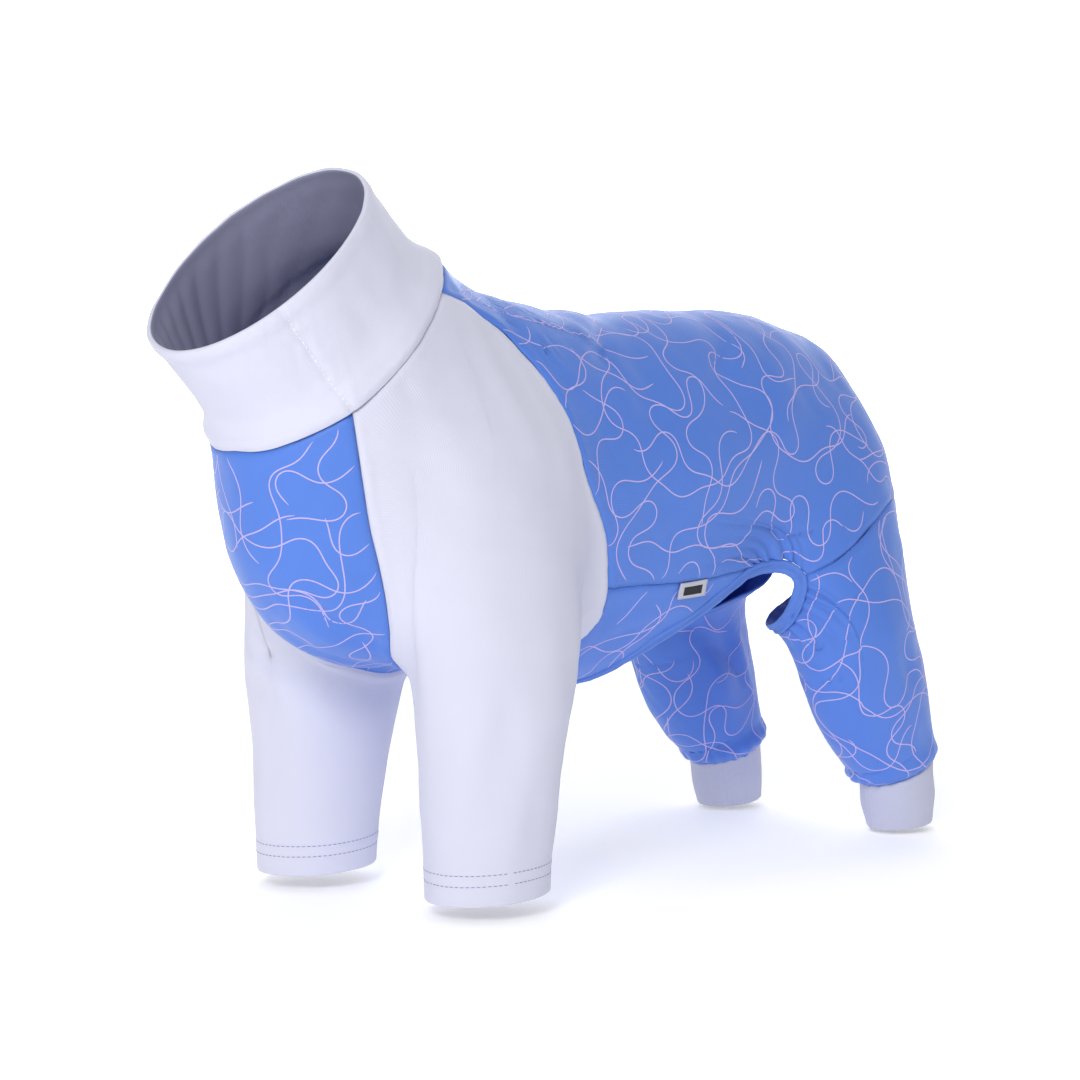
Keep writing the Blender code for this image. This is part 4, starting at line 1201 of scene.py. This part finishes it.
def plain(name, colour, roughness, scale=1400.0, depth=0.00005):
    """Thread, ink or tape: one colour with a fine uneven surface."""
    look = bpy.data.materials.new(name)
    look.use_nodes = True
    nodes, links = look.node_tree.nodes, look.node_tree.links
    shader = shader_of(look)
    coords = nodes.new("ShaderNodeTexCoord")
    noise = nodes.new("ShaderNodeTexNoise")
    noise.inputs["Scale"].default_value = scale
    noise.inputs["Detail"].default_value = 2.0
    links.new(coords.outputs["Object"], noise.inputs["Vector"])
    ramp = nodes.new("ShaderNodeMix")
    ramp.data_type = "RGBA"
    ramp.inputs["A"].default_value = (*[c * 0.92 for c in colour], 1.0)
    ramp.inputs["B"].default_value = (*[min(c * 1.06, 1.0) for c in colour], 1.0)
    links.new(noise.outputs["Fac"], ramp.inputs["Factor"])
    links.new(ramp.outputs["Result"], shader.inputs["Base Color"])
    bump = nodes.new("ShaderNodeBump")
    bump.inputs["Strength"].default_value = 0.4
    bump.inputs["Distance"].default_value = depth
    links.new(noise.outputs["Fac"], bump.inputs["Height"])
    links.new(bump.outputs["Normal"], shader.inputs["Normal"])
    shader.inputs["Roughness"].default_value = roughness
    shader.inputs["Specular IOR Level"].default_value = 0.3
    return look


PALE = knit("pale_jersey", (0.715, 0.722, 0.845), (0.665, 0.672, 0.800), 0.62,
            0.0009, 0.0008, 0.00010, 0.25, (0.92, 0.92, 1.0))
BLUE = knit("blue_jersey", (0.098, 0.235, 0.740), (0.084, 0.205, 0.680), 0.44,
            0.0009, 0.0008, 0.00010, 0.35, (0.55, 0.70, 1.0))
RIB = knit("cuff_rib", (0.590, 0.600, 0.740), (0.530, 0.540, 0.680), 0.78,
           0.0015, 0.0009, 0.00022, 0.20, (0.85, 0.85, 1.0))
BAND = knit("binding_jersey", (0.115, 0.250, 0.740), (0.095, 0.210, 0.660), 0.55,
            0.0008, 0.0008, 0.00012, 0.30, (0.55, 0.70, 1.0))
# Painted shade: the collar's inner wall is the same pale cloth, darkened for the shade that falls
# inside the collar.
INSIDE_SHADE_LOOK = knit("collar_inside_painted_shade", (0.300, 0.305, 0.430), (0.265, 0.270, 0.390), 0.75,
              0.0009, 0.0008, 0.00010, 0.20, (0.9, 0.9, 1.0))
INK = plain("print_line", (0.560, 0.470, 0.800), 0.60)
THREAD = plain("pale_thread", (0.900, 0.905, 0.960), 0.50)
HEM_THREAD = plain("hem_thread", (0.300, 0.330, 0.520), 0.55)
BLUE_THREAD = plain("blue_thread", (0.105, 0.225, 0.660), 0.50)
TAPE = knit("woven_tape", (0.560, 0.570, 0.640), (0.520, 0.530, 0.600), 0.60,
            0.0005, 0.0004, 0.00006, 0.10, (1.0, 1.0, 1.0))
DARK = plain("woven_dark", (0.020, 0.021, 0.026), 0.60)


# Pieces

def seam_side(columns, first, last):
    """One where columns lie between two coarse steps of an edge, zero elsewhere."""
    at = np.arange(columns) / FINE_COLUMNS
    return np.clip((at - first) / 0.4, 0, 1) * np.clip((last - at) / 0.4, 0, 1)


def walls(grid, out, lift, thick, closed, last=True, sunk=0.0):
    """Outer and inner points of a piece, its edges just short of its seams."""
    grid = trimmed(grid, closed, EDGE_GAP, last)
    sunk = np.broadcast_to(np.asarray(sunk, float), lift.shape)
    outer = grid + out * (lift + thick)[..., None]
    inner = grid + out * (lift - sunk)[..., None]
    return outer, inner


def back_cloth():
    """The printed back, drawn up over both arches of the opening."""
    front = mirrored_line(fine_line(REAR[::-1], NAPE[::-1]))
    rear = mirrored_line(fine_line(ARCH, HIP, TAIL_EDGE))
    left = fine_line(SIDE, parts=BACK_ROWS)
    grid = fine_panel(back_grid(), BACK_ROWS, front, rear, left)
    out = facing(grid)
    down, up = reach_down(grid), reach_up(grid)
    across = reach_across(grid)
    across = np.minimum(across, reach_across(grid[:, ::-1])[:, ::-1])
    columns = grid.shape[1]
    hip = seam_side(columns, ARCH_STEPS, ARCH_STEPS + HIP_STEPS)
    hip = hip + hip[::-1]
    lift = seam_dip(down) + seam_dip(across) + hip * seam_dip(up)
    lift += seam_pucker(grid, down, 3) + seam_pucker(grid, across, 4) + hip * seam_pucker(grid, up, 5)
    arch = ARCH_STEPS * FINE_COLUMNS + 1
    along = around(grid[-1, :arch])
    for side, seed in ((slice(0, arch), 21), (slice(columns - 1, columns - 1 - arch, -1), 22)):
        reach = np.linalg.norm(grid[:, side] - grid[-1, side][None], axis=2)
        lift[:, side] += gathers(along[None], reach, along[-1], 0.0085, 0.0026, seed)
    lift += FOLD_SHARE * raised(grid, BACK_FOLDS)
    lift += 0.00055 * ripple(grid, 0.060, 6) + 0.00020 * ripple(grid, 0.021, 7)
    outer, inner = walls(grid, out, lift, SHEET, False)
    made = panel_cloth("back_cloth", outer, inner, BLUE, "back_panel")
    lines, ups = even_cover(*scribbles(outer, out, 340, 101), 14.0)
    ribbons("back_print", lines, ups, PRINT_WIDTH, PRINT_RISE, INK)
    return made


def chest_cloth():
    """The printed front."""
    front = mirrored_line(fine_line(THROAT))
    rear = mirrored_line(fine_line(BELLY_EDGE[::-1]))
    left = fine_line(FRONT, SIDE, parts=CHEST_ROWS)
    grid = fine_panel(chest_grid(), CHEST_ROWS, front, rear, left)
    out = facing(grid)
    down = reach_down(grid)
    across = reach_across(grid)
    across = np.minimum(across, reach_across(grid[:, ::-1])[:, ::-1])
    lift = seam_dip(down) + seam_dip(across) + seam_pucker(grid, down, 8)
    lift += seam_pucker(grid, across, 9) + FOLD_SHARE * raised(grid, CHEST_FOLDS)
    lift += 0.00045 * ripple(grid, 0.050, 10) + 0.00018 * ripple(grid, 0.020, 11)
    outer, inner = walls(grid, out, lift, SHEET, False)
    made = panel_cloth("chest_cloth", outer, inner, BLUE, "chest_belly_panel")
    lines, ups = even_cover(*scribbles(outer, out, 120, 102), 4.2)
    ribbons("chest_print", lines, ups, PRINT_WIDTH, PRINT_RISE, INK)
    return made


def sleeve_cloth(side, flip, folds, seed):
    """One raglan sleeve with its turned-up hem and two rows of stitches."""
    grid = fine_tube(sleeve_grid(), SLEEVE_FINE_ROWS, fine_line(SHOULDER, FRONT, REAR[::-1])[:-1])
    out = facing(grid)
    down, up = reach_down(grid), reach_up(grid)
    place_of = grid * flip
    lift = seam_dip(down) + seam_pucker(grid, down, seed)
    lift += FOLD_SHARE * raised(place_of, folds)
    lift += 0.00050 * ripple(place_of, 0.055, seed + 1) + 0.00018 * ripple(place_of, 0.020, seed + 2)
    hem = 1 / (1 + np.exp((up - 0.0185) / 0.0006))
    lift = lift * (1 - 0.5 * hem) + 0.00030 * hem
    for row in HEM_ROWS:
        lift -= 0.00028 * np.exp(-((up - row) / 0.0008)**2)
    lift += 0.00012 * ripple(place_of, 0.006, seed + 3) * np.exp(-((up - 0.0137) / 0.005)**2)
    outer, inner = walls(grid, out, lift, SHEET, True, False, hem * (HEM_CLOTH - CLOTH))
    outer, inner, out = outer * flip, inner * flip, out * flip
    made = tube_cloth(side + "_sleeve_cloth", outer, inner, PALE, side + "_sleeve")
    for name, row in zip(("low", "high"), HEM_ROWS):
        line, way = level(outer, up, row), level(out, up, row)
        line, way = np.concatenate([line, line[:1]]), np.concatenate([way, way[:1]])
        dashes(side + "_hem_stitches_" + name, line, way, 0.0022, 0.0031, 0.00070, 0.00018,
               HEM_THREAD)
    return made


def leg_cloth(side, flip, folds, seed):
    """One printed trouser leg: gathered at the opening, and bloused over its cuff."""
    grid = fine_tube(leg_grid(), LEG_FINE_ROWS, fine_line(HIP, THIGH_EDGE[::-1], LEG_ARCH[::-1])[:-1])
    kept = len(grid) - 1 - LEG_LIFT / reach_up(grid)[-2].mean()
    at = np.linspace(0.0, kept, len(grid))
    row = np.minimum(at.astype(int), len(grid) - 2)
    share = (at - row)[:, None, None]
    grid = (1 - share) * grid[row] + share * grid[row + 1]
    out = facing(grid)
    down, up = reach_down(grid), reach_up(grid)
    place_of = grid * flip
    columns = grid.shape[1]
    hip = seam_side(columns, 0, HIP_STEPS)
    lift = hip * (seam_dip(down) + seam_pucker(grid, down, seed)) + FOLD_SHARE * raised(place_of, folds)
    first = (HIP_STEPS + THIGH_STEPS) * FINE_COLUMNS
    arch = np.append(np.arange(first, columns), 0)
    along = around(grid[0, arch])
    reach = np.linalg.norm(grid[:, arch] - grid[0, arch][None], axis=2)
    lift[:, arch] += gathers(along[None], reach, along[-1], 0.0080, 0.0025, seed + 1, (0.020, 0.046))
    lift += 0.00050 * ripple(place_of, 0.050, seed + 2) + 0.00018 * ripple(place_of, 0.019, seed + 3)
    turn = np.arange(columns) / columns
    rear = 0.5 - 0.5 * np.cos(2 * np.pi * turn)
    blouse = 0.0012 + 0.0026 * rear
    lift += blouse * np.exp(-((up - 0.0085) / 0.0065)**2)
    lift -= (CUFF_PINCH + 0.0004) * np.exp(-(up / 0.0038)**2)
    ring = around(np.concatenate([grid[-1], grid[-1, :1]]))
    count = round(ring[-1] / 0.0085)
    sway = 0.8 * np.sin(2 * np.pi * 3 * turn + seed)
    wave = np.cos(2 * np.pi * count * ring[:-1] / ring[-1] + sway)
    lift += 0.00055 * wave[None] * np.exp(-((up - 0.006) / 0.009)**2)
    outer, inner = walls(grid, out, lift, SHEET, True)
    outer, inner, out = outer * flip, inner * flip, out * flip
    made = tube_cloth(side + "_leg_cloth", outer, inner, BLUE, side + "_hind_leg")
    lines, ups = even_cover(*scribbles(outer, out, 110, seed + 4, True), 3.8)
    ribbons(side + "_leg_print", lines, ups, PRINT_WIDTH, PRINT_RISE, INK)
    return made


def collar_cloth():
    """The doubled stand collar, its rim rolled over, and its one stitched side seam."""
    base = fine_line(NAPE, SHOULDER, THROAT, parts=COLLAR_COLUMNS)
    base = joined(base, (base * MIRROR)[::-1])[:-1]
    grid = split_round(split(collar_grid(), COLLAR_ROWS), COLLAR_COLUMNS)
    share = np.linspace(1.0, 0.0, len(grid))[:, None, None]**3
    grid += share * (base - grid[0])[None]
    out = grid_facing(grid)
    out[0] = unit(out[0] + facing(grid[0]))
    down, up = reach_down(grid), reach_up(grid)
    turn = np.arange(grid.shape[1]) / grid.shape[1]
    front = 0.5 - 0.5 * np.cos(2 * np.pi * turn)
    lift = seam_dip(down) + 0.0009 * np.exp(-((down - 0.0050) / 0.0036)**2)
    lift += seam_pucker(grid, down, 31)
    lift += 0.00055 * ripple(grid, 0.055, 32) + 0.00018 * ripple(grid, 0.022, 33)
    lift += 0.0010 * np.exp(-((up - 0.004) / 0.005)**2)
    stitch = COLLAR_SEAM_BASE * COLLAR_COLUMNS
    beside = np.linalg.norm(grid - grid[:, stitch][:, None], axis=2)
    lift -= 0.0010 * np.exp(-(beside / 0.0018)**2)
    lift += 0.00045 * ripple(grid, 0.009, 34) * np.exp(-beside / 0.008)
    thick = 0.0021 + 0.0009 * np.exp(-(up / 0.006)**2)
    outer = grid + out * (lift + thick)[..., None]
    inside = 0.0013 * (0.25 + 0.75 * front)[None] * np.sin(
        2 * np.pi * (11 * turn[None] + 1.6 * up / 0.08) + 0.7 * np.sin(2 * np.pi * 3 * turn)[None])
    inside = inside * np.clip((up - 0.003) / 0.010, 0, 1) * np.clip(down / 0.012, 0, 1)
    inner = grid + out * (lift * 0.4 - np.abs(inside) * 1.3)[..., None]
    # The inner wall is drawn darker, as painted shade inside the collar.
    made = tube_cloth("collar_cloth", outer, inner, PALE, "collar", 7, INSIDE_SHADE_LOOK)
    rows = up[:, stitch] > 0.003
    line = outer[rows, stitch]
    dashes("collar_seam_stitches", line, out[rows, stitch], 0.0021, 0.0033, 0.00080, 0.00035,
           THREAD)
    return made


def cuff_cloth(side, flip, seed):
    """One fine ribbed cuff, folded at its lower edge."""
    corners = (0, HIP_STEPS, HIP_STEPS + THIGH_STEPS, HIP_STEPS + THIGH_STEPS + LEG_ARCH_STEPS)
    degrees = np.interp(np.arange(corners[-1] * 4) / 4, corners, (190, 370, 490, 550))
    sections = leg_sections(HIND_LEG, HIND_STANCE, HIND_LEG_HEIGHT, -1)
    ring = leg_ring(sections, HIND_LEG_HEIGHT - CUFF_HEIGHT, CUFF_SEAM_TILT, degrees)
    low = leg_ring(sections, HIND_LEG_HEIGHT, CUFF_TILT, degrees)
    out = facing(ring)
    top = ring - CUFF_PINCH * out
    bottom = low - CUFF_PINCH * unit((low - low.mean(axis=0)) * np.array([1.0, 1.0, 0.0]))
    share = np.linspace(-0.25, 1.0, 2 * CUFF_FINE_ROWS)[:, None, None]
    grid = (1 - share) * top[None] + share * bottom[None]
    out = np.repeat(out[None], len(grid), axis=0)
    place_of = grid * flip
    lift = 0.0009 * np.sin(np.pi * np.clip(share[..., 0], 0, 1))
    lift = lift + 0.00022 * ripple(place_of, 0.018, seed)
    length = around(np.concatenate([grid[-1], grid[-1, :1]]))
    ribs = np.cos(2 * np.pi * round(length[-1] / 0.0032) * length[:-1] / length[-1])
    lift = lift + 0.00010 * ribs[None]
    outer = (grid + out * (lift + 0.0019)[..., None]) * flip
    inner = (grid + out * (lift * 0.5)[..., None]) * flip
    return tube_cloth(side + "_cuff_cloth", outer, inner, RIB, side + "_cuff", 7)


# Binding: how far its outside stands out of the form, at each width from its seam
BAND_PROFILE = (
    (0.0, 0.0009), (0.0007, 0.0019), (0.0015, 0.0021), (0.0023, 0.0016), (0.0029, 0.0010),
    (0.0037, 0.0015), (0.0048, 0.0019), (0.0062, 0.0019), (0.0074, 0.0016), (0.0080, 0.0011),
)


def binding_cloth():
    """The elastic binding: a ridge at the seam, a stitched ditch and a folded flat edge."""
    half = fine_line(BELLY_EDGE, ARCH, LEG_ARCH, THIGH_EDGE, TAIL_EDGE)
    loop = mirrored_line(half)[:-1]
    out = facing(loop)
    along = unit(np.roll(loop, -1, axis=0) - np.roll(loop, 1, axis=0))
    inward = unit(np.cross(along, out))
    middle = laid(loop + inward * BINDING_WIDTH / 2, 4)
    edge = laid(loop + inward * BINDING_WIDTH, 4)
    for _ in range(3):
        middle = (np.roll(middle, 1, axis=0) + np.roll(middle, -1, axis=0) + 2 * middle) / 4
        edge = (np.roll(edge, 1, axis=0) + np.roll(edge, -1, axis=0) + 2 * edge) / 4
    rows = []
    for width, _ in BAND_PROFILE:
        share = width / BINDING_WIDTH
        if share < 0.5:
            rows.append(loop + (middle - loop) * share * 2)
        else:
            rows.append(middle + (edge - middle) * (share * 2 - 1))
    grid = laid(np.stack(rows), 2)
    out = facing(grid)
    heights = np.array([height for _, height in BAND_PROFILE])[:, None]
    lift = 0.00022 * ripple(grid, 0.0075, 41) + 0.0003 * ripple(grid, 0.030, 42)
    outer = grid + out * (heights + lift)[..., None]
    inner = grid + out * (-0.0006 + lift)[..., None]
    made = tube_cloth("binding_cloth", outer, inner, BAND, "opening_binding", 4)
    line = np.concatenate([outer[6], outer[6, :1]])
    way = np.concatenate([out[6], out[6, :1]])
    dashes("binding_stitches", line, way, 0.0021, 0.0031, 0.00050, 0.00012, BLUE_THREAD)
    return made


def label_cloth():
    """The small woven tab in the left side seam, with a plain darker field."""
    lengths = around(SIDE)
    middle = LABEL_PLACE * lengths[-1]
    made = []
    for name, half, top, low, lift, look in (
            ("label_tape", 0.0120, 0.0, LABEL_DROP, 0.0, TAPE),
            ("label_field", 0.0080, 0.0030, LABEL_DROP - 0.0022, 0.00074, DARK)):
        at = middle + half * np.linspace(-1, 1, 17)
        line = np.stack([np.interp(at, lengths, column) for column in SIDE.T], axis=1)
        drops = np.linspace(top, low, 9)
        grid = np.stack([laid(line - np.array([0.0, 0.0, drop]), 4) for drop in drops])
        out = facing(grid)
        away = CLOTH + 0.0003 + 0.0022 * (drops / LABEL_DROP)[:, None]**1.5
        away = away + lift
        thick = 0.0007 if name == "label_tape" else 0.00012
        outer = grid + out * (away + thick)[..., None]
        inner = grid + out * away[..., None]
        node = "side_label" if name == "label_tape" else None
        made.append(panel_cloth(name, outer, inner, look, node))
    return made[0]


COLLAR_SEAM_BASE = NAPE_STEPS + SHOULDER_STEPS
LEFT, RIGHT = np.ones(3), MIRROR

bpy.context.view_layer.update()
sheets = (
    (back_cloth(), (0.42, 0.44), 0.140),
    (chest_cloth(), (0.17, 0.36), 0.042),
    (sleeve_cloth("left", LEFT, LEFT_SLEEVE_FOLDS, 51), (0.30, 0.36), 0.064),
    (sleeve_cloth("right", RIGHT, RIGHT_SLEEVE_FOLDS, 61), (0.30, 0.36), 0.064),
    (leg_cloth("left", LEFT, LEFT_LEG_FOLDS, 71), (0.28, 0.22), 0.038),
    (leg_cloth("right", RIGHT, RIGHT_LEG_FOLDS, 81), (0.28, 0.22), 0.038),
)
collar_cloth()
cuff_cloth("left", LEFT, 91)
cuff_cloth("right", RIGHT, 92)
binding_cloth()
label_cloth()


# Floor, light and camera

def floor():
    """A plain pale floor that sweeps up behind the suit."""
    mesh = bpy.data.meshes.new("floor")
    wide, low = 9.0, -0.3475
    rise = np.radians(np.linspace(0, 90, 19))
    profile = [(-4.0, low)] + [(3.0 + 2.0 * np.sin(a), low + 2.0 * (1 - np.cos(a))) for a in rise]
    profile.append((5.0, low + 6.0))
    ahead, side = np.array([0.731, 0.682]), np.array([0.682, -0.731])
    points = [(*(along * ahead + k * wide * side), height)
              for along, height in profile for k in (-1, 1)]
    faces = [(2 * n, 2 * n + 1, 2 * n + 3, 2 * n + 2) for n in range(len(profile) - 1)]
    mesh.from_pydata(points, [], faces)
    mesh.shade_smooth()
    look = bpy.data.materials.new("floor")
    look.use_nodes = True
    shader_of(look).inputs["Base Color"].default_value = (0.90, 0.90, 0.92, 1.0)
    shader_of(look).inputs["Roughness"].default_value = 0.9
    shader_of(look).inputs["Emission Color"].default_value = (1.0, 1.0, 1.0, 1.0)
    shader_of(look).inputs["Emission Strength"].default_value = 0.35
    mesh.materials.append(look)
    made = bpy.data.objects.new("floor", mesh)
    bpy.context.scene.collection.objects.link(made)


def lamp(name, spot, aim, size, power, colour, spread=180):
    """A soft area light that points at a place."""
    data = bpy.data.lights.new(name, "AREA")
    data.shape = "DISK"
    data.size = size
    data.energy = power
    data.color = colour
    data.spread = np.radians(spread)
    made = bpy.data.objects.new(name, data)
    made.location = spot
    made.rotation_euler = (Vector(aim) - Vector(spot)).to_track_quat("-Z", "Y").to_euler()
    bpy.context.scene.collection.objects.link(made)


def camera():
    """A long lens at the photograph's angle."""
    data = bpy.data.cameras.new("camera")
    data.lens = 100.0
    data.sensor_width = 36.0
    made = bpy.data.objects.new("camera", data)
    aim = Vector((0.0616, 0.0, -0.148))
    turn, rise = np.radians(47.0), np.radians(4.0)
    back = Vector((-np.sin(turn) * np.cos(rise), -np.cos(turn) * np.cos(rise), np.sin(rise)))
    made.location = aim + 1.8 * back
    made.rotation_euler = (-back).to_track_quat("-Z", "Y").to_euler()
    bpy.context.scene.collection.objects.link(made)
    bpy.context.scene.camera = made


floor()
lamp("key", (-1.9, -1.1, 1.0), (0.05, 0.0, -0.15), 0.8, 29.0, (1.0, 0.99, 0.98))
lamp("top", (0.5, 0.3, 1.6), (0.08, 0.0, -0.10), 0.6, 4.0, (0.98, 0.99, 1.0))
lamp("sweep", (1.2, 0.2, 2.6), (3.2, 3.0, 0.6), 2.0, 170.0, (1.0, 1.0, 1.0), 90)
world = bpy.data.worlds.new("studio")
world.use_nodes = True
world.node_tree.nodes["Background"].inputs["Color"].default_value = (0.96, 0.97, 1.0, 1.0)
world.node_tree.nodes["Background"].inputs["Strength"].default_value = 0.40
bpy.context.scene.world = world
camera()
bpy.context.scene.view_settings.view_transform = "Standard"
